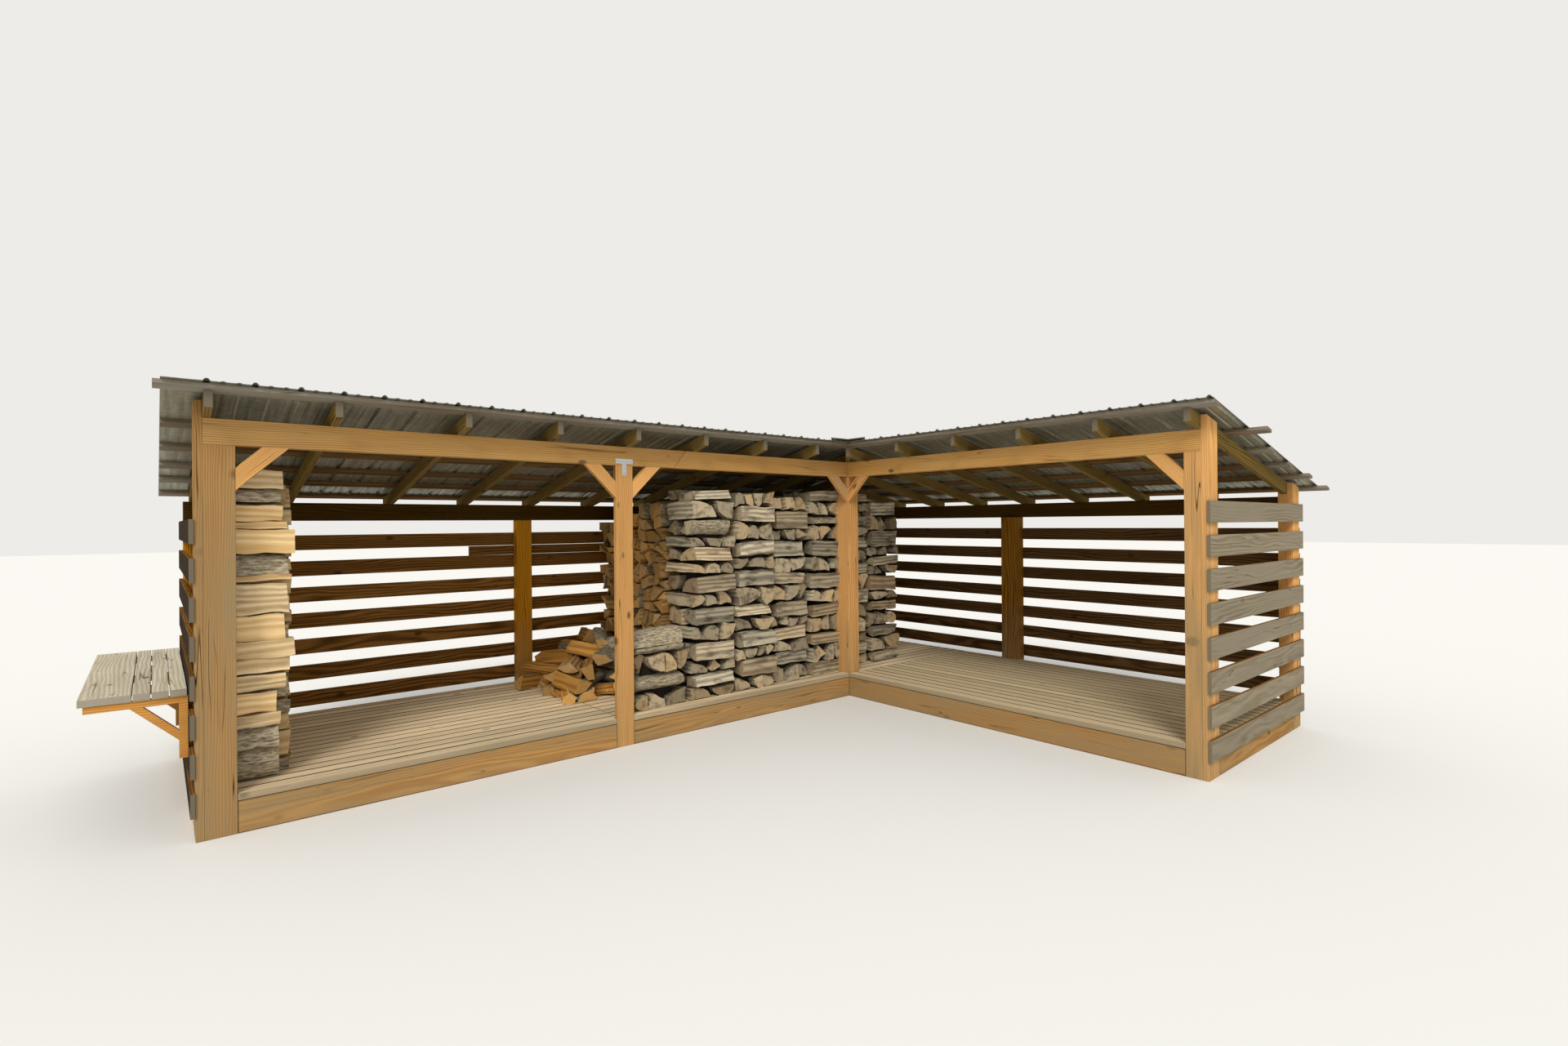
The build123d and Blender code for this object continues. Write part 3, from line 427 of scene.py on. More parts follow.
def plain_material(name, colour, roughness, metallic=0.0):
    """Surface of one colour with a faint mottle."""
    material, tree, shader = start_material(name, roughness)
    place = node(tree, "ShaderNodeTexCoord", (-4, 0)).outputs["Object"]
    mottle = cloud(tree, place, 30.0, 3.0, at=(-3, 0))["Fac"]
    shade = tuple(c * 0.7 for c in linear(colour)[:3]) + (1.0,)
    feed(shader["Base Color"], blend(tree, mottle, shade, linear(colour), at=(-1, 0)))
    shader["Metallic"].default_value = metallic
    return material


def end_grain(tree, grain, rings, mottle_scale, light, dark):
    """Colour of a sawn end with rings round its pith, the share of its dark, and its mottle."""
    flat = stretch(tree, grain, (0.0, 1.0, 1.0), (-4, 0))
    mottle = cloud(tree, grain, mottle_scale, 4.0, at=(-3, 2))["Fac"]
    share = maths(tree, "MULTIPLY", year_rings(tree, flat, *rings, at=(-3, 0)), mottle, at=(-2, 0))
    return blend(tree, share, linear(light), linear(dark), at=(-1, 0)), share, mottle


def sawn_end_material(name, light, dark, silvering):
    """Sawn ends of the timbers, rough from the saw."""
    material, tree, shader = start_material(name, 0.85)
    grain = read(tree, "grain", (-6, 0))["Vector"]
    wood, _, rough = end_grain(tree, grain, (44.0, 1.5, 2.0), 60.0, light, dark)
    weathered = linear(bpy.context.scene.log_store_colours.weathered_end)
    feed(shader["Base Color"], blend(tree, silvering, wood, weathered, at=(1, 0)))
    add_bump(tree, shader, rough, 0.4, 0.001)
    return material


def firewood_material(name, kind, light=None, dark=None):
    """Split faces, bark or sawn ends of the firewood."""
    colours = bpy.context.scene.log_store_colours
    material, tree, shader = start_material(name, 0.85, DULL)
    grain = read(tree, "grain", (-6, 0))["Vector"]
    tone = read(tree, "tone", (-6, 3))["Fac"]
    age, grey = read(tree, "age", (-6, 4))["Fac"], colours.log_grey
    if kind == SPLIT:
        light, dark = linear(light or colours.split_light), linear(dark or colours.split_dark)
        wood = use_group(tree, "Sawn Grain", (-4, 0), {"Vector": grain, "Light": light, "Dark": dark,
                                                       "Ring Width": 0.35})
        colour, height, depth = wood["Color"], wood["Height"], 0.009
    elif kind == BARK:
        ridges = cloud(tree, grain, (22.0, 90.0, 90.0), 5.0, 0.65, at=(-3, 0))["Fac"]
        height, depth, age = ranged(tree, ridges, 0.32, 0.6, at=(-2, 0)), 0.008, 0.0
        colour = blend(tree, height, linear(colours.bark_groove), linear(colours.bark), at=(-1, 0))
    else:
        colour, height, _ = end_grain(tree, grain, (36.0, 2.5, 3.0), 26.0, colours.log_end, colours.log_heart)
        depth, age, grey = 0.003, maths(tree, "MULTIPLY", age, 0.95, at=(-4, 4)), colours.end_grey
    toned = use_group(tree, "Log Tone", (1, 0), {"Vector": grain, "Color": colour, "Figure": height, "Tone": tone,
                                                 "Age": age, "Grey": linear(grey),
                                                 "Grey Dark": linear(colours.log_grey_dark)})
    feed(shader["Base Color"], toned["Color"])
    add_bump(tree, shader, height, 0.6, depth)
    return material


def sheet_material(name, under, top, dirt_share, metallic, roughness, streaks):
    """Galvanised steel: faint spangle, streaks of dust, and an underside of darker, warmer grey than the top,
    which is painted shade under the roof.
    """
    material, tree, shader = start_material(name, roughness)
    place = node(tree, "ShaderNodeTexCoord", (-6, 0)).outputs["Object"]
    normal = node(tree, "ShaderNodeNewGeometry", (-6, 4)).outputs["True Normal"]
    facing = node(tree, "ShaderNodeSeparateXYZ", (-5, 4), {0: normal}).outputs["Z"]
    # Faces turned down take the darker under colour: painted shade under the roof
    upward = ranged(tree, facing, -0.1, 0.1, at=(-4, 4))
    steel = blend(tree, upward, linear(under), linear(top), at=(-3, 4))
    spangle = node(tree, "ShaderNodeTexVoronoi", (-4, 0), {"Vector": place, "Scale": 38.0}).outputs["Color"]
    faint = maths(tree, "MULTIPLY", first_channel(tree, spangle, (-3, 0)), 0.16, at=(-2, 0))
    flake = blend(tree, faint, steel, (0.9, 0.9, 0.9, 1.0), at=(-1, 0))
    dust = cloud(tree, place, streaks, 5.0, at=(-4, 2))["Fac"]
    dusty = ranged(tree, dust, 0.3, 0.8, high=dirt_share, at=(-3, 2))
    dirt = linear(bpy.context.scene.log_store_colours.sheet_dirt)
    feed(shader["Base Color"], blend(tree, dusty, flake, dirt, at=(1, 0)))
    rough = ranged(tree, dusty, low=roughness, high=min(roughness + DUST_ROUGHNESS, 1.0), at=(1, 2))
    feed(shader["Roughness"], rough)
    shader["Metallic"].default_value = metallic
    add_bump(tree, shader, dust, 0.12, 0.004)
    return material


# Timbers made from the frame's solids
def islands(source):
    """Separate solids of a mesh, each as a list of face corner lists."""
    mesh = bmesh.new()
    mesh.from_mesh(source.data)
    mesh.transform(source.matrix_world)
    bmesh.ops.remove_doubles(mesh, verts=mesh.verts, dist=WELD)
    bmesh.ops.dissolve_limit(mesh, angle_limit=math.radians(0.5), verts=mesh.verts, edges=mesh.edges)
    left = set(mesh.faces)
    found = []
    while left:
        seed = min(left, key=lambda face: face.index)
        heap, solid = [seed], {seed}
        while heap:
            face = heap.pop()
            for edge in face.edges:
                for other in edge.link_faces:
                    if other not in solid:
                        solid.add(other)
                        heap.append(other)
        left -= solid
        ordered = sorted(solid, key=lambda face: face.index)
        found.append([[corner.co.copy() for corner in face.verts] for face in ordered])
    mesh.free()
    return found


def solid_mesh(faces):
    mesh = bmesh.new()
    for corners in faces:
        mesh.faces.new([mesh.verts.new(corner) for corner in corners])
    bmesh.ops.remove_doubles(mesh, verts=mesh.verts, dist=WELD)
    bmesh.ops.recalc_face_normals(mesh, faces=mesh.faces)
    return mesh


def timber_axes(mesh):
    """Directions along, across and through a timber, from its longest edge and widest face."""
    longest = max(mesh.edges, key=lambda edge: edge.calc_length())
    along = (longest.verts[1].co - longest.verts[0].co).normalized()
    if sum(along) < 0:
        along = -along
    sides = [face for face in mesh.faces if abs(face.normal.dot(along)) < 0.5]
    widest = max(sides, key=lambda face: face.calc_area())
    through = widest.normal.copy()
    return along, through.cross(along).normalized(), through


class Pieces:
    """Faces, attributes and finishes gathered for one mesh."""

    def __init__(self):
        self.corners, self.faces, self.finishes = [], [], []
        self.values = {"grain": [], "tone": [], "age": [], "edge": []}

    def add(self, corner, grain, tone, age=0.0, edge=0.0):
        self.corners.append(corner)
        for values, value in zip(self.values.values(), (grain, tone, age, edge)):
            values.append(value)
        return len(self.corners) - 1

    def make(self, name, materials, smooth=False):
        mesh = bpy.data.meshes.new(name)
        mesh.from_pydata(self.corners, [], self.faces)
        for material in materials:
            mesh.materials.append(material)
        mesh.polygons.foreach_set("material_index", self.finishes)
        mesh.polygons.foreach_set("use_smooth", [smooth] * len(self.faces))
        for key, values in self.values.items():
            kind = "FLOAT_VECTOR" if key == "grain" else "FLOAT"
            layer = mesh.attributes.new(key, kind, "POINT")
            flat = [c for value in values for c in value] if key == "grain" else values
            layer.data.foreach_set("vector" if key == "grain" else "value", flat)
        mesh.update()
        if smooth:
            mesh.set_sharp_from_angle(angle=SHARP)
        made = bpy.data.objects.new(name, mesh)
        bpy.context.collection.objects.link(made)
        return made


def cut_lengthwise(mesh, along, spacing):
    places = [vertex.co.dot(along) for vertex in mesh.verts]
    low, high = min(places), max(places)
    count = int((high - low) / spacing)
    for step in range(1, count + 1):
        at = low + (high - low) * step / (count + 1)
        parts = list(mesh.verts) + list(mesh.edges) + list(mesh.faces)
        bmesh.ops.bisect_plane(mesh, geom=parts, plane_co=along * at, plane_no=along)


def round_edges(mesh, width):
    sharp = [edge for edge in mesh.edges if len(edge.link_faces) == 2 and edge.calc_face_angle(0) > 0.4]
    made = bmesh.ops.bevel(mesh, geom=sharp, offset=width, segments=2, profile=0.6, affect="EDGES",
                           clamp_overlap=True)
    rounds = set(made["faces"])
    return {vertex for vertex in mesh.verts if vertex.link_faces and all(f in rounds for f in vertex.link_faces)}


def dress_timber(pieces, faces, rng, width, bow, outward=None, age_at=None, soil_at=None):
    """One timber with rounded edges and a slight bow; the soil function says how much dirt and painted shade of
    the gaps between boards lie on a board's edges and sides.
    """
    middle = sum((corner for face in faces for corner in face), Vector()) / sum(len(face) for face in faces)
    sizes = bpy.context.scene.log_store_sizes
    mesh = solid_mesh(faces)
    along, across, through = timber_axes(mesh)
    cut_lengthwise(mesh, along, sizes.span)
    edge_mark = round_edges(mesh, width)
    places = [vertex.co.dot(along) for vertex in mesh.verts]
    low, high = min(places), max(places)
    shift = Vector((rng.uniform(0, 20), rng.uniform(-0.5, 0.5), rng.uniform(-0.5, 0.5)))
    tone = rng.random()
    bend = bow * rng.uniform(-1, 1)
    # Below this height lie a board's sides, which a soil function darkens with dirt and painted shade of the gaps
    top_face_level = max(vertex.co.z for vertex in mesh.verts) - 0.9 * width
    index = {}
    for vertex in mesh.verts:
        share = (vertex.co.dot(along) - low) / (high - low)
        grain = Vector((vertex.co.dot(along), vertex.co.dot(across), vertex.co.dot(through))) + shift
        moved = vertex.co + across * bend * (1 - (2 * share - 1) ** 2)
        age = min(1.0, max(0.0, age_at(vertex.co, middle))) if age_at else 0.0
        if soil_at:
            edge = soil_at(vertex.co) * (vertex in edge_mark or vertex.co.z < top_face_level)
        else:
            edge = vertex in edge_mark
        index[vertex] = pieces.add(moved, grain, tone, age, float(edge))
    for face in mesh.faces:
        pieces.faces.append([index[vertex] for vertex in face.verts])
        finish = SAWN_END if abs(face.normal.dot(along)) > ENDWISE else SIDE
        if finish == SIDE and outward is not None and face.normal.dot(outward) > OUTDOORS:
            finish = OUTSIDE
        pieces.finishes.append(finish)
    mesh.free()


def hold_inside(pieces, name):
    """Corners that a bow or a rough cut pushes out come back to the node's box."""
    low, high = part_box(name)
    for corner in pieces.corners:
        for axis in range(3):
            corner[axis] = min(max(corner[axis], low[axis]), high[axis])


def dress_node(name, materials, rng, width, bow=0.0, outward=None, age_at=None, soil_at=None):
    """Piece that stands for a node of the frame, timber by timber; age_at says how grey it is at a place."""
    pieces = Pieces()
    for faces in islands(frame["nodes"][name]):
        dress_timber(pieces, faces, rng, width, bow, outward, age_at, soil_at)
    hold_inside(pieces, name)
    made = pieces.make("dressed_" + name, materials)
    settle(made, name)
    return made


def settle(piece, name):
    """The piece rides on the store and stands for a node, whose part it hides."""
    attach(piece, "root")
    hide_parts(name)


def slot_of(name):
    return next(part["material_slot"] for part in frame["record"]["subparts"] if part["node"] == name)


def finishes(key, light, dark, silvering, end_grey=0.5, **more):
    """Side and end materials of one kind of timber."""
    return [timber_material(key, light, dark, silvering, **more),
            sawn_end_material(key + " end", light, dark, end_grey)]


def seeded(extra):
    return random.Random(bpy.context.scene.log_store_sizes.seed * 1000 + extra)


def box_of(name):
    return tuple(Vector(corner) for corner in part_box(name))


def settings_of(context):
    return context.scene.log_store_colours, context.scene.log_store_sizes


class LOGSTORE_OT_stage(Operator):
    """Floor, soft light, backdrop and camera"""
    bl_idname = "log_store.stage"
    bl_label = "Stage"

    def execute(self, context):
        view = context.scene.log_store_view
        self.add_floor(context)
        self.add_light(context, view)
        self.add_camera(context, view)
        context.scene.view_settings.view_transform = "Standard"
        return {"FINISHED"}

    def add_floor(self, context):
        mesh = bpy.data.meshes.new("floor")
        reach = 60.0    # far enough to pass for the horizon
        corners = [(-reach, -reach, 0), (reach, -reach, 0), (reach, reach, 0), (-reach, reach, 0)]
        mesh.from_pydata(corners, [], [(0, 1, 2, 3)])
        floor = bpy.data.objects.new("floor", mesh)
        context.collection.objects.link(floor)
        material, _, shader = start_material("studio floor", 0.9)
        shader["Base Color"].default_value = linear(context.scene.log_store_colours.floor)
        mesh.materials.append(material)

    def add_light(self, context, view):
        world = bpy.data.worlds.new("studio")
        world.use_nodes = True
        background = world.node_tree.nodes["Background"]
        background.inputs["Color"].default_value = (1.0, 0.985, 0.95, 1.0)
        background.inputs["Strength"].default_value = view.sky
        context.scene.world = world
        lamp = bpy.data.lights.new("key", "SUN")
        lamp.energy = view.lamp
        lamp.angle = math.radians(22)
        lamp.color = (1.0, 0.97, 0.91)
        key = bpy.data.objects.new("key", lamp)
        key.rotation_euler = LAMP_WAY.to_track_quat("-Z", "Y").to_euler()
        context.collection.objects.link(key)

    def add_camera(self, context, view):
        data = bpy.data.cameras.new("camera")
        data.lens = view.lens
        data.sensor_width = 36.0
        camera = bpy.data.objects.new("camera", data)
        level = math.cos(view.climb)
        ahead = Vector((math.cos(view.heading) * level, math.sin(view.heading) * level, math.sin(view.climb)))
        right = Vector((math.sin(view.heading), -math.cos(view.heading), 0))
        up = right.cross(ahead)
        side = right * math.cos(view.roll) + up * math.sin(view.roll)
        top = up * math.cos(view.roll) - right * math.sin(view.roll)
        turn = Matrix((side, top, -ahead)).transposed().to_4x4()
        camera.matrix_world = Matrix.Translation((view.east, view.north, view.height)) @ turn
        context.collection.objects.link(camera)
        context.scene.camera = camera


class LOGSTORE_OT_posts(Operator):
    """Posts, their outer planks and the knee braces"""
    bl_idname = "log_store.posts"
    bl_label = "Posts and braces"

    def execute(self, context):
        c, sizes = settings_of(context)
        fresh = finishes("post timber", c.post_light, c.post_dark, 0.12, silver_tint=c.post_silver, knots=0.8,
                         cracks=0.9)
        old = finishes("old post timber", c.old_post_light, c.old_post_dark, 0.1, silver_tint=c.post_silver,
                       knots=1.0, cracks=1.0)
        # The back posts' deep orange is painted greenish reflected light and shade
        back = finishes("back post timber", c.back_post_light, c.back_post_dark, 0.0, knots=0.4)
        dim = finishes("dim post timber", c.dim_post_light, c.dim_post_dark, 0.0, knots=0.4)
        # The dim post colours on the outer corner post and right middle back post are painted shade
        sets = {"left_end_post": old, "left_end_post_plank": old, "left_back_posts": back,
                "outer_corner_post": dim, "right_back_mid_post": dim}
        tops = {"left_end_post": (sizes.dry_top, 0.3), "left_end_post_plank": (sizes.dry_top, 0.3),
                "right_end_post": (sizes.right_dry_top, 0.5), "right_end_post_plank": (sizes.right_dry_top, 0.5)}
        grey = finishes("post outside", c.outer_light, c.outer_dark, 0.6, silver_tint=c.slat_silver, knots=0.4)
        outside = {"left_back_posts": NORTH, "outer_corner_post": EAST, "right_back_mid_post": EAST,
                   "right_back_end_post": EAST}
        for index, name in enumerate(frame["nodes"]):
            if "post" in name or name == "knee_braces":
                top, fade = tops.get(name, (sizes.splash, sizes.splash))
                materials = sets.get(name, fresh) + (grey[:1] if name in outside else [])
                dress_node(name, materials, seeded(index), sizes.edge_round, outward=outside.get(name),
                           age_at=lambda at, _, top=top, fade=fade: (top - at.z) / fade)
        return {"FINISHED"}


class LOGSTORE_OT_beams(Operator):
    """Front and back beams"""
    bl_idname = "log_store.beams"
    bl_label = "Beams"

    def execute(self, context):
        c, sizes = settings_of(context)
        front = finishes("beam timber", c.beam_light, c.beam_dark, 0.15, knots=0.3)
        # The back beams' dark colours are painted shade
        back = finishes("back beam timber", c.back_beam_light, c.back_beam_dark, 0.0, knots=0.4)
        names = ("left_front_beam", "right_front_beam", "left_back_beam", "right_back_beam")
        for index, name in enumerate(names):
            dress_node(name, front if "front" in name else back, seeded(100 + index), sizes.edge_round)
        return {"FINISHED"}


class LOGSTORE_OT_roof_timbers(Operator):
    """Rafters, hip rafter and roof laths"""
    bl_idname = "log_store.roof_timbers"
    bl_label = "Roof timbers"

    def execute(self, context):
        c, sizes = settings_of(context)
        # The rafters' dark colours are painted shade under the roof
        rafters = finishes("rafter timber", c.rafter_light, c.rafter_dark, 0.05, 1.0, knots=0.4)
        laths = finishes("purlin timber", c.purlin_light, c.purlin_dark, 0.05, 0.9, silver_tint=c.lath_silver,
                         knots=0.3)
        for index, name in enumerate(("left_rafters", "right_rafters", "hip_rafter")):
            dress_node(name, rafters, seeded(200 + index), sizes.board_round)
        for index, (name, along, front) in enumerate((("left_purlins", 0, 1), ("right_purlins", 1, 0))):
            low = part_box(name)[0]
            dress_node(name, laths, seeded(210 + index), sizes.board_round,
                       age_at=lambda at, middle, low=low, along=along, front=front:
                       1.6 * float(middle[front] < low[front] + EAVE or at[along] < low[along] + VERGE))
        return {"FINISHED"}


class LOGSTORE_OT_roof_sheets(Operator):
    """Ribbed sheets, hip cap and the tee strap"""
    bl_idname = "log_store.roof_sheets"
    bl_label = "Roof sheets and strap"

    def execute(self, context):
        c = context.scene.log_store_colours
        even = (6, 6, 6)
        roofs = {"left_roof_sheets": (48, 1.6, 6), "right_roof_sheets": (1.6, 48, 6), "hip_cap": even}
        for name, streaks in roofs.items():
            paint(name, sheet_material("galvanised " + name, c.sheet, c.sheet_top, 0.7, 0.75, 0.42, streaks))
        paint("tee_strap", sheet_material("galvanised strap", c.strap, c.strap, 0.3, 0.85, 0.35, even))
        return {"FINISHED"}


def paint(name, material):
    """Give a node of the frame a material."""
    data = frame["nodes"][name].data
    if data.materials:
        for index in range(len(data.materials)):
            data.materials[index] = material
    else:
        data.materials.append(material)


class LOGSTORE_OT_decks(Operator):
    """Rims, sleepers, joists and deck boards"""
    bl_idname = "log_store.decks"
    bl_label = "Decks"

    def execute(self, context):
        c, sizes = settings_of(context)
        # The dark edges of the rims and deck boards are dirt and painted shade of the gaps between boards
        rims = finishes("rim timber", c.rim_light, c.rim_dark, 0.12, silver_tint=c.rim_silver, knots=0.5,
                        soil=0.9)
        # The right rims' darker colours are painted shade
        dim_rims = finishes("right rim timber", c.dim_rim_light, c.dim_rim_dark, 0.12, silver_tint=c.rim_silver,
                            knots=0.5, soil=0.9)
        # The joists take the rafters' darker colours, painted shade
        under = finishes("joist timber", c.rafter_light, c.rafter_dark, 0.4, knots=0.3)
        boards = finishes("deck timber", c.deck_light, c.deck_dark, 0.4, silver_tint=c.deck_silver, knots=0.3,
                          roughness=0.8, cracks=0.3, soil=1.0)
        # The right deck's darker colours are painted shade
        dim_boards = finishes("right deck timber", c.dim_deck_light, c.dim_deck_dark, 0.4,
                              silver_tint=c.deck_silver, knots=0.3, roughness=0.8, cracks=0.3, soil=1.0)
        for index, name in enumerate(("left_rims", "right_rims")):
            dress_node(name, dim_rims if index else rims, seeded(300 + index), sizes.rim_round,
                       age_at=lambda _, at, index=index: 1.0 if at.z < sizes.low_rim else 0.5 * index)
        for index, name in enumerate(("left_joists", "right_joists", "sleepers")):
            dress_node(name, under, seeded(310 + index), sizes.board_round)
        for index, (name, way) in enumerate((("left_deck", 1), ("right_deck", 0))):
            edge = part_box(name)[0][way] + sizes.open_deck
            dress_node(name, dim_boards if index else boards, seeded(320 + index), sizes.deck_round, sizes.sag,
                       age_at=lambda _, at, way=way, edge=edge: float(at[way] < edge),
                       soil_at=lambda at, way=way, edge=edge:
                       1.0 if at[way] > edge - sizes.open_deck + 0.02 else 0.45)
        return {"FINISHED"}


class LOGSTORE_OT_walls(Operator):
    """Wall slats, brown inside and silver outside"""
    bl_idname = "log_store.walls"
    bl_label = "Slatted walls"

    def execute(self, context):
        c, sizes = settings_of(context)
        inner = finishes("slat timber", c.slat_light, c.slat_dark, 0.0, knots=0.6)
        # The dim slat colours of the right wing's back slats are painted shade
        dim = finishes("dim slat timber", c.dim_slat_light, c.dim_slat_dark, 0.0, knots=0.6)
        outer = finishes("outer slat timber", c.outer_light, c.outer_dark, 0.8, 0.9, silver_tint=c.slat_silver,
                         knots=0.4)
        black = finishes("black slat timber", c.slat_black, c.knot, 0.7, 0.9, silver_tint=c.slat_black, knots=0.4)
        ways = {"left_back_slats": NORTH, "patch_board": NORTH, "right_back_slats": EAST,
                "left_end_slats": -EAST, "right_end_slats": -NORTH}
        for index, (name, way) in enumerate(ways.items()):
            face, end = black if name == "left_end_slats" else outer
            inside = dim if name == "right_back_slats" else inner
            dress_node(name, [inside[0], end, face], seeded(400 + index), sizes.board_round, sizes.sag, way)
        return {"FINISHED"}


class LOGSTORE_OT_shelf(Operator):
    """Side shelf and its brackets"""
    bl_idname = "log_store.shelf"
    bl_label = "Side shelf"

    def execute(self, context):
        c, sizes = settings_of(context)
        # The dark edges and sides of the shelf boards are dirt and painted shade of the gaps between boards
        boards = finishes("shelf timber", c.shelf_light, c.shelf_dark, 0.3, 0.7, knots=0.4, rings=0.6, soil=0.6)
        brackets = finishes("bracket timber", c.bracket_light, c.bracket_dark, 0.1, knots=0.3)
        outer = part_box("side_shelf")[0][0] + 0.02
        dress_node("side_shelf", boards, seeded(500), sizes.board_round, sizes.sag,
                   soil_at=lambda at: 1.0 if at.x > outer else 0.6)
        dress_node("shelf_brackets", brackets, seeded(501), sizes.board_round)
        return {"FINISHED"}


# Split firewood
def arc(centre, wide, tall, turn, steps):
    """Points of an arc that starts level, to the right of its centre."""
    return [(centre[0] + wide * math.cos(turn * step / steps), centre[1] + tall * math.sin(turn * step / steps))
            for step in range(steps + 1)]


def split_shape(kind):
    """Section of a log in a square of side 1, the sides that carry bark, and its pith."""
    if kind == HALF:
        points, barked, pith = arc((0, -0.5), 0.5, 1.0, math.pi, 8), 8, (0, -0.5)
    elif kind == QUARTER:
        points, barked, pith = arc((-0.5, -0.5), 1.0, 1.0, math.pi / 2, 5) + [(-0.5, -0.5)], 5, (-0.5, -0.5)
    elif kind == WEDGE:
        points = [(0.32, -0.5), (0.45, -0.25), (0.5, 0), (0.45, 0.25), (0.32, 0.5), (-0.5, 0.1)]
        barked, pith = 4, points[-1]
    elif kind == SLAB:
        points = [(0.5, -0.42), (0.42, 0.42), (0, 0.5), (-0.44, 0.36), (-0.5, -0.4), (0, -0.5)]
        barked, pith = 1, (-0.9, 0)
    else:
        points, barked, pith = arc((0, 0), 0.5, 0.5, math.tau, 12)[:-1], 12, (0.04, 0.03)
    return [Vector(point) for point in points], [side < barked for side in range(len(points))], Vector(pith)


def roughened(points, bark, rng, lump):
    """Long split sides get a middle point that leaves their plane a little."""
    outline, flags = [], []
    middle = sum(points, Vector((0, 0))) / len(points)
    for side, start in enumerate(points):
        end = points[(side + 1) % len(points)]
        outline.append(start)
        flags.append(bark[side])
        if not bark[side] and (end - start).length > 0.03:
            for share in (0.06, rng.uniform(0.35, 0.65), 0.94):
                inward = (middle - start.lerp(end, 0.5)).normalized() * rng.uniform(-0.2, 1.0) * lump
                outline.append(start.lerp(end, share) + inward * (0.3 < share < 0.7))
                flags.append(False)
    return outline, flags


def fitted_shape(kind, wide, tall, turn, rng, lump):
    """Log section turned and then fitted to a width and a height."""
    points, bark, pith = split_shape(kind)
    spin = Matrix.Rotation(turn, 2)
    turned = [spin @ point for point in points]
    low = Vector((min(p.x for p in turned), min(p.y for p in turned)))
    high = Vector((max(p.x for p in turned), max(p.y for p in turned)))
    scale = Vector((wide / (high.x - low.x), tall / (high.y - low.y)))
    centre = (low + high) / 2

    def fit(point):
        return Vector(((point.x - centre.x) * scale.x, (point.y - centre.y) * scale.y))

    outline, flags = roughened([fit(point) for point in turned], bark, rng, lump)
    return outline, flags, fit(spin @ pith)


def cell_shape(cell, gap, rng, lump):
    """Log section that fills a cell of a wall, and where its middle is."""
    middle = sum(cell, Vector((0, 0))) / len(cell)
    spin = Matrix.Rotation(math.radians(rng.uniform(-7, 7)), 2)
    inset = []
    for point in cell:
        ray = point - middle
        inset.append(spin @ (ray * max(0.55, 1 - gap * rng.uniform(0.7, 2.4) / max(ray.length, gap))))
    barked = rng.randrange(len(inset)) if rng.random() < 0.65 else -1
    points, bark = [], []
    for side, start in enumerate(inset):
        end = inset[(side + 1) % len(inset)]
        if side != barked:
            points.append(start)
            bark.append(False)
            continue
        half = start.lerp(end, 0.5)
        low, high, bulge = start - half * 0.22, end - half * 0.22, half * 1.22
        for step in range(6):
            t = step / 6
            points.append(low * (1 - t) ** 2 + bulge * 2 * t * (1 - t) + high * t * t)
            bark.append(True)
    across = inset[barked].lerp(inset[(barked + 1) % len(inset)], 0.5) if barked >= 0 else inset[0]
    outline, flags = roughened(points, bark, rng, lump)
    return (outline, flags, across * -1.3), middle


def lay_log(pieces, shape, place, ways, long, rng, age, drift=0.0, spans=3, bright=0.0):
    """One split log from its first end, torn along its sides and cut a little askew at its ends."""
    outline, bark, pith = shape
    first, second, axis = ways
    tone = rng.uniform(bright, 1)
    tear = bpy.context.scene.log_store_sizes.tear if spans > 3 else 0.0
    own_age = min(1.0, max(0.0, age + rng.uniform(-0.3, 0.3)))
    shift = Vector((rng.uniform(0, 30), 0, 0))
    lean = (rng.uniform(-0.1, 0.1), rng.uniform(-0.1, 0.1))
    turns = Vector((rng.uniform(-drift, drift), rng.uniform(-drift, drift)))
    rings = []
    for step in range(spans + 1):
        share = step / spans
        slant = lean if step in (0, spans) else (0, 0)
        ring = []
        for point in outline:
            torn = noise.noise(Vector((share * long * 9 + shift.x, point.x * 30, point.y * 30))) * tear
            flat = point * rng.uniform(0.97, 1.0) + point.normalized() * torn + turns * (share - 0.5) * long
            depth = share * long + point.x * slant[0] + point.y * slant[1]
            grain = Vector((share * long, point.x - pith.x, point.y - pith.y)) + shift
            ring.append(pieces.add(place + first * flat.x + second * flat.y + axis * depth, grain, tone, own_age))
        rings.append(ring)
    count = len(outline)
    for near, far in zip(rings, rings[1:]):
        for side in range(count):
            after = (side + 1) % count
            pieces.faces.append([near[side], near[after], far[after], far[side]])
            pieces.finishes.append(BARK if bark[side] else SPLIT)
    pieces.faces += [rings[0][::-1], rings[-1]]
    pieces.finishes += [LOG_END, LOG_END]


def add_block(pieces, low, high):
    """Dark block behind the logs, where no light comes through a real stack."""
    corners = [pieces.add(Vector((x, y, z)), Vector((0, 0, 0)), 0.5)
               for x in (low.x, high.x) for y in (low.y, high.y) for z in (low.z, high.z)]
    for face in ((0, 1, 3, 2), (4, 6, 7, 5), (0, 4, 5, 1), (2, 3, 7, 6), (0, 2, 6, 4), (1, 5, 7, 3)):
        pieces.faces.append([corners[corner] for corner in face])
        pieces.finishes.append(SHADOW)


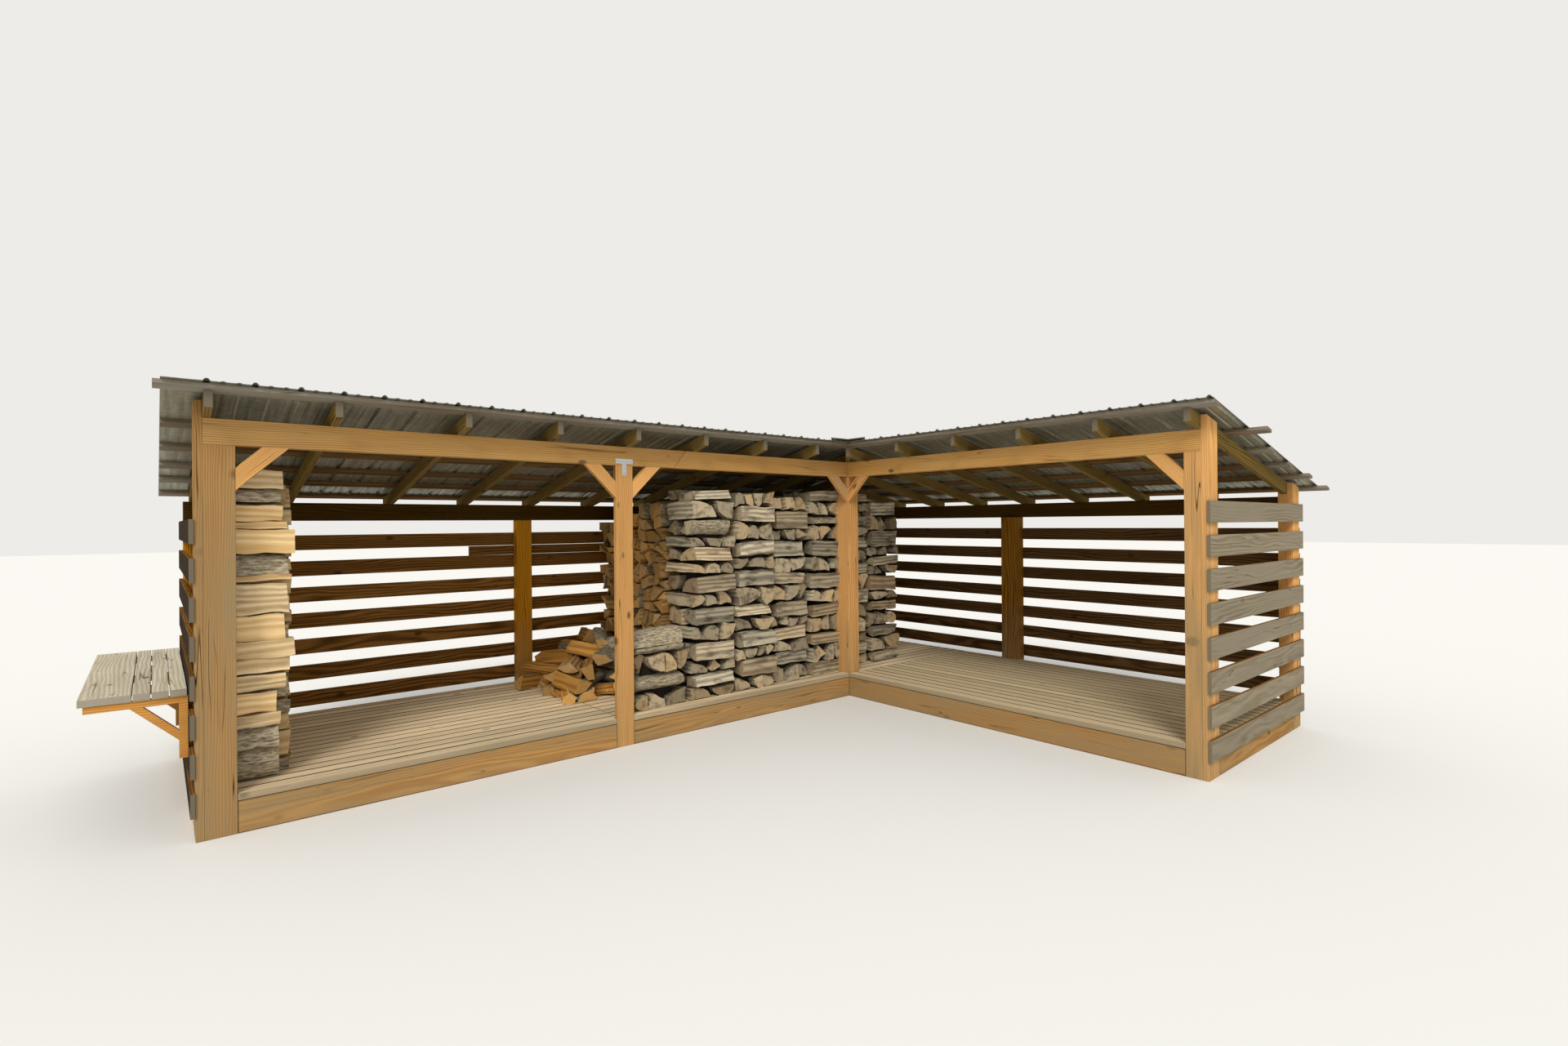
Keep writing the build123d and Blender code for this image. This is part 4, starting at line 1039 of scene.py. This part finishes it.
def wall_cells(wide, high, rng, cell_wide, course, split_share):
    """Cells of a log wall's face: a jittered grid, many cells halved into wedges."""
    rows = max(1, round(high / course))
    columns = max(1, round(wide / cell_wide))
    points = {}
    for row in range(rows + 1):
        for column in range(columns + 1):
            at = column + (rng.uniform(-0.3, 0.3) if 0 < column < columns else 0)
            up = row + (rng.uniform(-0.32, 0.32) if 0 < row < rows else 0)
            points[row, column] = Vector((at / columns * wide, up / rows * high))
    cells = []
    for row in range(rows):
        for column in range(columns):
            quad = [points[row + up, column + over] for up, over in ((0, 0), (0, 1), (1, 1), (1, 0))]
            if rng.random() < split_share:
                turn = rng.randrange(2)
                quad = quad[turn:] + quad[:turn]
                cells += [quad[:3], [quad[2], quad[3], quad[0]]]
            else:
                cells.append(quad)
    return cells


def log_wall(pieces, corner, wide, high, long, ways, rng, age):
    """Logs laid side by side with their ends in one face, from a bottom corner of that face."""
    sizes = bpy.context.scene.log_store_sizes
    first, second, axis = ways
    for cell in wall_cells(wide, high, rng, sizes.log_wide, sizes.course, 0.7):
        shape, middle = cell_shape(cell, sizes.log_gap, rng, sizes.log_lump)
        slip = rng.uniform(0, 1) ** 2 * sizes.wall_spread
        place = corner + first * middle.x + second * middle.y + axis * slip
        lay_log(pieces, shape, place, ways, long - slip - rng.uniform(0, 1) * sizes.end_spread, rng, age)


def lay_course(pieces, corner, wide, tall, long, ways, rng, age):
    """Course of logs side by side, each of a kind of its own."""
    sizes = bpy.context.scene.log_store_sizes
    first, second, axis = ways
    count = max(2, round(wide / (sizes.crib_log_wide * rng.uniform(0.8, 1.35))))
    shares = [rng.uniform(0.7, 1.3) for _ in range(count)]
    at = 0.0
    for share in shares:
        width = wide * share / sum(shares)
        kind, turn = rng.choice((HALF, HALF, QUARTER, QUARTER, QUARTER, WEDGE, SLAB)), rng.randrange(4)
        if at == 0 and rng.random() < 0.65:
            kind, turn = rng.choice(SPLIT_OUTWARD)
        turn = turn * math.pi / 2 + rng.uniform(-0.2, 0.2)
        shape = fitted_shape(kind, width - sizes.log_gap, tall * rng.uniform(0.8, 1.0), turn, rng, sizes.log_lump)
        slip = rng.uniform(-1, 1) * sizes.end_spread
        place = corner + first * (at + width / 2) + second * tall * 0.47 + axis * (sizes.end_spread + slip)
        lay_log(pieces, shape, place, ways, long - 2 * sizes.end_spread, rng, age, 0.05, 7)
        at += width


def crib(pieces, low, high, rng, age):
    """Column of crossed courses between two corners."""
    sizes = bpy.context.scene.log_store_sizes
    size = high - low
    at = low.z
    turned = rng.random() < 0.5
    inset = Vector((CRIB_CORE, CRIB_CORE, 0))
    add_block(pieces, low + inset, high - inset - Vector((0, 0, sizes.crib_course)))
    while at < high.z - sizes.crib_course * 0.4:
        tall = min(sizes.crib_course * rng.uniform(0.72, 1.3), high.z - at)
        corner = Vector((low.x, low.y, at))
        if turned:
            lay_course(pieces, corner, size.y, tall, size.x, (NORTH, UP, EAST), rng, age)
        else:
            lay_course(pieces, corner, size.x, tall, size.y, (EAST, UP, NORTH), rng, age)
        at += tall
        turned = not turned


# Kinds and quarter turns that show a split face on the near side
SPLIT_OUTWARD = ((HALF, 3), (QUARTER, 0), (QUARTER, 0), (SLAB, 0))

# Front column of the end row from the deck up: height, kind, quarter turns, and how far the log stays back
END_ROW = ((0.182, ROUND, 0, 0.08), (0.12, HALF, 0, 0.09), (0.075, SLAB, 3, 0.08), (0.122, QUARTER, 0, 0.09),
           (0.1, SLAB, 1, 0.05), (0.09, QUARTER, 0, 0.03), (0.1, HALF, 3, 0.01), (0.15, HALF, 3, 0.05),
           (0.18, QUARTER, 0, 0.03), (0.045, SLAB, 0, 0.02), (0.12, HALF, 0, 0.04), (0.137, HALF, 3, 0.0),
           (0.045, SLAB, 0, 0.04), (0.11, SLAB, 1, 0.06), (0.075, HALF, 0, 0.07), (0.11, QUARTER, 0, 0.05))


class LOGSTORE_OT_firewood(Operator):
    """Split logs of the stacks, the crib and the heap"""
    bl_idname = "log_store.firewood"
    bl_label = "Firewood"

    def execute(self, context):
        self.colours, self.sizes = settings_of(context)
        self.materials = [firewood_material("split wood", SPLIT), firewood_material("bark", BARK),
                          firewood_material("log end", LOG_END),
                          plain_material("stack shadow", self.colours.stack_shadow, 1.0)]
        self.pale = firewood_material("pale split wood", SPLIT, self.colours.pale_light, self.colours.pale_dark)
        self.end_row()
        self.main_stack()
        self.front_crib()
        self.heap()
        return {"FINISHED"}

    def keep(self, pieces, name, materials=None):
        hold_inside(pieces, name)
        made = pieces.make("logs_" + name, materials or self.materials, True)
        settle(made, name)

    def roof_top(self, name, north):
        """Height of a tall stack at a place, under the slope of the roof."""
        low, high = box_of(name)
        facing = pan_plane("left_roof_sheets")[1]
        return high.z - (north - low.y) * facing.y / facing.z

    def end_row(self):
        """Row at the left end: a front column of known courses and a wall of logs behind it."""
        name = "firewood_end_row"
        low, high = box_of(name)
        rng = seeded(600)
        pieces = Pieces()
        long = high.x - low.x
        deep = 0.15
        scale = (self.roof_top(name, low.y) - low.z - 0.02) / sum(tall for tall, _, _, _ in END_ROW)
        at = low.z
        for tall, kind, turn, back in END_ROW:
            tall *= scale
            depth = min(deep, tall * 1.5) * rng.uniform(0.9, 1.05)
            turn = turn * math.pi / 2 + rng.uniform(-0.15, 0.15)
            shape = fitted_shape(kind, depth, tall * 0.98, turn, rng, self.sizes.log_lump)
            place = Vector((low.x, low.y + depth / 2 + rng.uniform(0, 0.02), at + tall / 2))
            lay_log(pieces, shape, place, (NORTH, UP, EAST), long - back, rng, 0.15, 0.02, 9, 0.75)
            at += tall
        self.sloped_rows(pieces, name, Vector((low.x, low.y + deep, low.z)), high, low.x, long, rng, 0.2)
        self.keep(pieces, name, [self.pale] + self.materials[1:])

    def sloped_rows(self, pieces, name, low, high, start, long, rng, age, step=0.38):
        """Logs along X under the sloping top, in strips so that the top follows the roof."""
        count = max(1, round((high.y - low.y) / step))
        wide = (high.y - low.y) / count
        for strip in range(count):
            near = low.y + strip * wide
            top = self.roof_top(name, near + wide)
            corner = Vector((start, near, low.z))
            log_wall(pieces, corner, wide, top - low.z, long, (NORTH, UP, EAST), rng, age)
            side, deep, under = ROW_CORE
            far = Vector((start + long - side, near + wide - deep, top - under))
            add_block(pieces, corner + Vector((side, deep, 0)), far)

    def main_stack(self):
        """Cribs side by side along the front and rows of logs behind them."""
        name = "firewood_main_stack"
        low, high = box_of(name)
        columns = max(1, round((high.x - low.x) / self.sizes.crib_wide))
        wide = (high.x - low.x) / columns
        behind_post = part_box("corner_post_plank")[1][1] + 0.02
        corner_low, corner_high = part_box("corner_post")
        beside_post = corner_high[1] - 0.02
        pieces = Pieces()
        for column in range(columns):
            rng = seeded(620 + column)
            west = low.x + column * wide
            if west + 2 * wide <= corner_low[0]:
                near = low.y
            else:
                near = beside_post if west + wide <= corner_low[0] + 0.1 else behind_post
            top = self.roof_top(name, near) - rng.uniform(0.03, 0.1)
            start = Vector((west + 0.01, near, low.z))
            crib(pieces, start, Vector((west + wide - 0.01, near + wide, top)), rng, 0.95)
            back = Vector((west, near + wide + 0.02, low.z))
            self.sloped_rows(pieces, name, back, high, west, wide, rng, 0.15)
        self.keep(pieces, name)

    def front_crib(self):
        """Low free-standing crib under one big half log."""
        low, high = box_of("firewood_front_crib")
        rng = seeded(640)
        pieces = Pieces()
        cap = 0.13
        crib(pieces, low, high - Vector((0, 0, cap)), rng, 0.9)
        shape = fitted_shape(HALF, 0.24, cap, 0, rng, self.sizes.log_lump)
        place = Vector((low.x + 0.01, low.y + 0.16, high.z - cap / 2))
        lay_log(pieces, shape, place, (NORTH, UP, EAST), high.x - low.x - 0.03, rng, 0.7, 0, 7, 0.9)
        self.keep(pieces, "firewood_front_crib")

    def heap(self):
        """Tumbled logs on the deck in layers, higher beside the main stack."""
        low, high = box_of("firewood_heap")
        rng = seeded(650)
        pieces = Pieces()
        layer, long = 0.09, 0.4
        size = high - low
        rows = math.ceil(size.y / long)
        for level in range(int(size.z / layer) + 1):
            reach = size.x * (1 - level * layer / (size.z + layer))
            across = max(1, int(reach / 0.15))
            for step in range(across):
                east = high.x - (step + rng.uniform(0.3, 0.7)) * reach / across
                for row in range(rows):
                    north = low.y + (row + 0.5) * size.y / rows + rng.uniform(-0.05, 0.05)
                    turn = math.pi / 2 + rng.uniform(-0.7, 0.7) * (1 if rng.random() < 0.7 else 2)
                    tilt = rng.uniform(-0.16, 0.16)
                    level_share = math.cos(tilt)
                    axis = Vector((math.cos(turn) * level_share, math.sin(turn) * level_share, math.sin(tilt)))
                    side = UP.cross(axis).normalized()
                    kind = rng.choice((HALF, QUARTER, QUARTER, WEDGE, SLAB))
                    wide, tall, spin = rng.uniform(0.11, 0.2), rng.uniform(0.09, 0.14), rng.uniform(0, math.tau)
                    shape = fitted_shape(kind, wide, tall, spin, rng, self.sizes.log_lump)
                    middle = Vector((east, north, low.z + (level + 0.55) * layer))
                    inside = [min(max(middle[i], low[i] + 0.2), high[i] - 0.2) for i in range(2)]
                    place = Vector((*inside, middle.z)) - axis * long / 2
                    ways = (side, axis.cross(side), axis)
                    lay_log(pieces, shape, place, ways, long * rng.uniform(0.85, 1.0), rng, 0.05, 0, 7)
        for corner in pieces.corners:
            corner.z = max(corner.z, low.z)
        wood = firewood_material("heap wood", SPLIT, self.colours.heap_light, self.colours.heap_dark)
        made = pieces.make("logs_firewood_heap", [wood] + self.materials[1:], True)
        settle(made, "firewood_heap")


def solid_boxes(name):
    """Lowest and highest corner of each solid of a node."""
    found = []
    for faces in islands(frame["nodes"][name]):
        corners = [corner for face in faces for corner in face]
        found.append(tuple(Vector([pick(corner[axis] for corner in corners) for axis in range(3)])
                           for pick in (min, max)))
    return found


def pan_plane(name):
    """A point of a roof's pans and the way that they face."""
    mesh = frame["nodes"][name].data
    largest = max((face for face in mesh.polygons if face.normal.z > 0.5), key=lambda face: face.area)
    return largest.center.copy(), largest.normal.copy()


class Screws:
    """Round heads of one kind gathered for one piece."""

    def __init__(self, width, proud):
        self.pieces, self.width, self.proud = Pieces(), width, proud

    def add(self, place, facing):
        side = facing.orthogonal().normalized()
        other = facing.cross(side)
        rings = []
        for radius, height in ((0.5, 0), (0.46, 0.8), (0.3, 1)):
            ring = []
            for step in range(SCREW_SIDES):
                turn = step * math.tau / SCREW_SIDES
                outward = (side * math.cos(turn) + other * math.sin(turn)) * radius * self.width
                corner = place + outward + facing * height * self.proud
                ring.append(self.pieces.add(corner, Vector((0, 0, 0)), 0.5))
            rings.append(ring)
        for near, far in zip(rings, rings[1:]):
            for turn in range(SCREW_SIDES):
                after = (turn + 1) % SCREW_SIDES
                self.pieces.faces.append([near[turn], near[after], far[after], far[turn]])
        self.pieces.faces.append(rings[-1])
        self.pieces.finishes = [0] * len(self.pieces.faces)

    def make(self, name, material, slot):
        made = self.pieces.make(name, [material])
        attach(made, "root")


# Boards, the timbers that carry them, and the way that their screws face
SCREWED = (("left_deck", ("left_joists",), UP),
           ("right_deck", ("right_joists",), UP),
           ("left_back_slats", ("left_back_posts",), NORTH),
           ("right_back_slats", ("outer_corner_post", "right_back_mid_post"), EAST),
           ("left_end_slats", ("left_end_post_plank", "left_back_posts"), -EAST),
           ("right_end_slats", ("right_end_post_plank", "right_back_end_post"), -NORTH),
           ("left_rims", ("left_joists",), -NORTH))


class LOGSTORE_OT_screws(Operator):
    """Screws of the boards, the roof sheets and the tee strap"""
    bl_idname = "log_store.screws"
    bl_label = "Screws"

    def execute(self, context):
        colours, self.sizes = settings_of(context)
        dark = plain_material("screw head", colours.screw_head, 0.5, 0.6)
        bright = plain_material("roof screw", colours.strap, 0.4, 0.7)
        heads = Screws(self.sizes.wood_screw, HEAD_PROUD)
        for board, carriers, way in SCREWED:
            self.fasten(heads, board, carriers, way)
        self.strap(heads)
        heads.make("screws_in_boards", dark, slot_of("tee_strap"))
        roof = Screws(self.sizes.roof_screw, WASHER_PROUD)
        self.roof(roof, "left")
        self.roof(roof, "right")
        roof.make("screws_in_roof", bright, slot_of("left_roof_sheets"))
        return {"FINISHED"}

    def fasten(self, heads, board_name, carriers, way):
        """Two screws wherever a board crosses a timber behind it."""
        normal = max(range(3), key=lambda axis: abs(way[axis]))
        flat = [axis for axis in range(3) if axis != normal]
        for low, high in solid_boxes(board_name):
            long = max(flat, key=lambda axis: high[axis] - low[axis])
            cross = next(axis for axis in flat if axis != long)
            for name in carriers:
                for first, last in solid_boxes(name):
                    start, end = max(low[long], first[long]), min(high[long], last[long])
                    under, over = max(low[cross], first[cross]), min(high[cross], last[cross])
                    if end - start < CROSSING[0] or over - under < CROSSING[1]:
                        continue
                    apart = min(self.sizes.screw_apart, (over - under) * 0.7)
                    for side in (-0.5, 0.5):
                        place = Vector((0, 0, 0))
                        place[long] = (start + end) / 2
                        place[cross] = (under + over) / 2 + side * apart
                        place[normal] = (high if way[normal] > 0 else low)[normal] - way[normal] * HEAD_PROUD
                        heads.add(place, way)

    def strap(self, heads):
        """Screws in the tee strap's six holes."""
        low, high = box_of("tee_strap")
        bar = high.z - self.sizes.strap_bar / 2
        middle = (low.x + high.x) / 2
        wide = high.x - low.x
        spots = [(middle + wide * share / 4, bar) for share in (-1.5, -0.5, 0.5, 1.5)]
        foot = high.z - (high.z - low.z) * 3 / 4
        spots += [(middle, foot + self.sizes.strap_bar * side / 2) for side in (-1, 1)]
        for east, height in spots:
            heads.add(Vector((east, low.y + STRAP_FACE, height)), -NORTH)

    def roof(self, roof, wing):
        """Screws beside each tall rib, over each purlin."""
        point, facing = pan_plane(wing + "_roof_sheets")
        low, high = box_of(wing + "_roof_sheets")
        axis, inward = (0, 1) if wing == "left" else (1, 0)
        first_rib = self.sizes.left_rib if wing == "left" else self.sizes.right_rib
        at = low[axis] + first_rib + self.sizes.rib_pitch * BESIDE_RIB
        while at < high[axis]:
            for start, end in solid_boxes(wing + "_purlins"):
                middle = (start[inward] + end[inward]) / 2
                if at < min(end[axis], middle) - HIP_CLEAR:
                    place = Vector((0, 0, 0))
                    place[axis], place[inward] = at, middle
                    place.z = point.z - (place - point).xy.dot(facing.xy) / facing.z
                    roof.add(place, facing)
            at += self.sizes.rib_pitch


class LOGSTORE_PT_panel(Panel):
    """Pieces of the log store"""
    bl_label = "Log Store"
    bl_idname = "LOGSTORE_PT_panel"
    bl_space_type = "VIEW_3D"
    bl_region_type = "UI"
    bl_category = "Log Store"

    def draw(self, context):
        for operator in OPERATORS:
            self.layout.operator(operator.bl_idname)
        for holder in HOLDERS:
            box = self.layout.box()
            settings = getattr(context.scene, holder)
            for key in settings.__annotations__:
                box.prop(settings, key)


OPERATORS = (LOGSTORE_OT_stage, LOGSTORE_OT_posts, LOGSTORE_OT_beams, LOGSTORE_OT_roof_timbers,
             LOGSTORE_OT_roof_sheets, LOGSTORE_OT_decks, LOGSTORE_OT_walls, LOGSTORE_OT_shelf,
             LOGSTORE_OT_firewood, LOGSTORE_OT_screws)
HOLDERS = {"log_store_sizes": LogStoreSizes, "log_store_colours": LogStoreColours,
           "log_store_view": LogStoreView}
CLASSES = (*HOLDERS.values(), *OPERATORS, LOGSTORE_PT_panel)


def register():
    for each in CLASSES:
        bpy.utils.register_class(each)
    for holder, kind in HOLDERS.items():
        setattr(bpy.types.Scene, holder, PointerProperty(type=kind))


def unregister():
    for holder in HOLDERS:
        delattr(bpy.types.Scene, holder)
    for each in reversed(CLASSES):
        bpy.utils.unregister_class(each)


def main():
    register()
    for build in (build_sawn_grain, build_knots, build_cracks, build_silvering, build_log_tone):
        build()
    bpy.ops.log_store.stage()
    bpy.ops.log_store.posts()
    bpy.ops.log_store.beams()
    bpy.ops.log_store.roof_timbers()
    bpy.ops.log_store.roof_sheets()
    bpy.ops.log_store.decks()
    bpy.ops.log_store.walls()
    bpy.ops.log_store.shelf()
    bpy.ops.log_store.firewood()
    bpy.ops.log_store.screws()


if __name__ == "__main__":
    main()
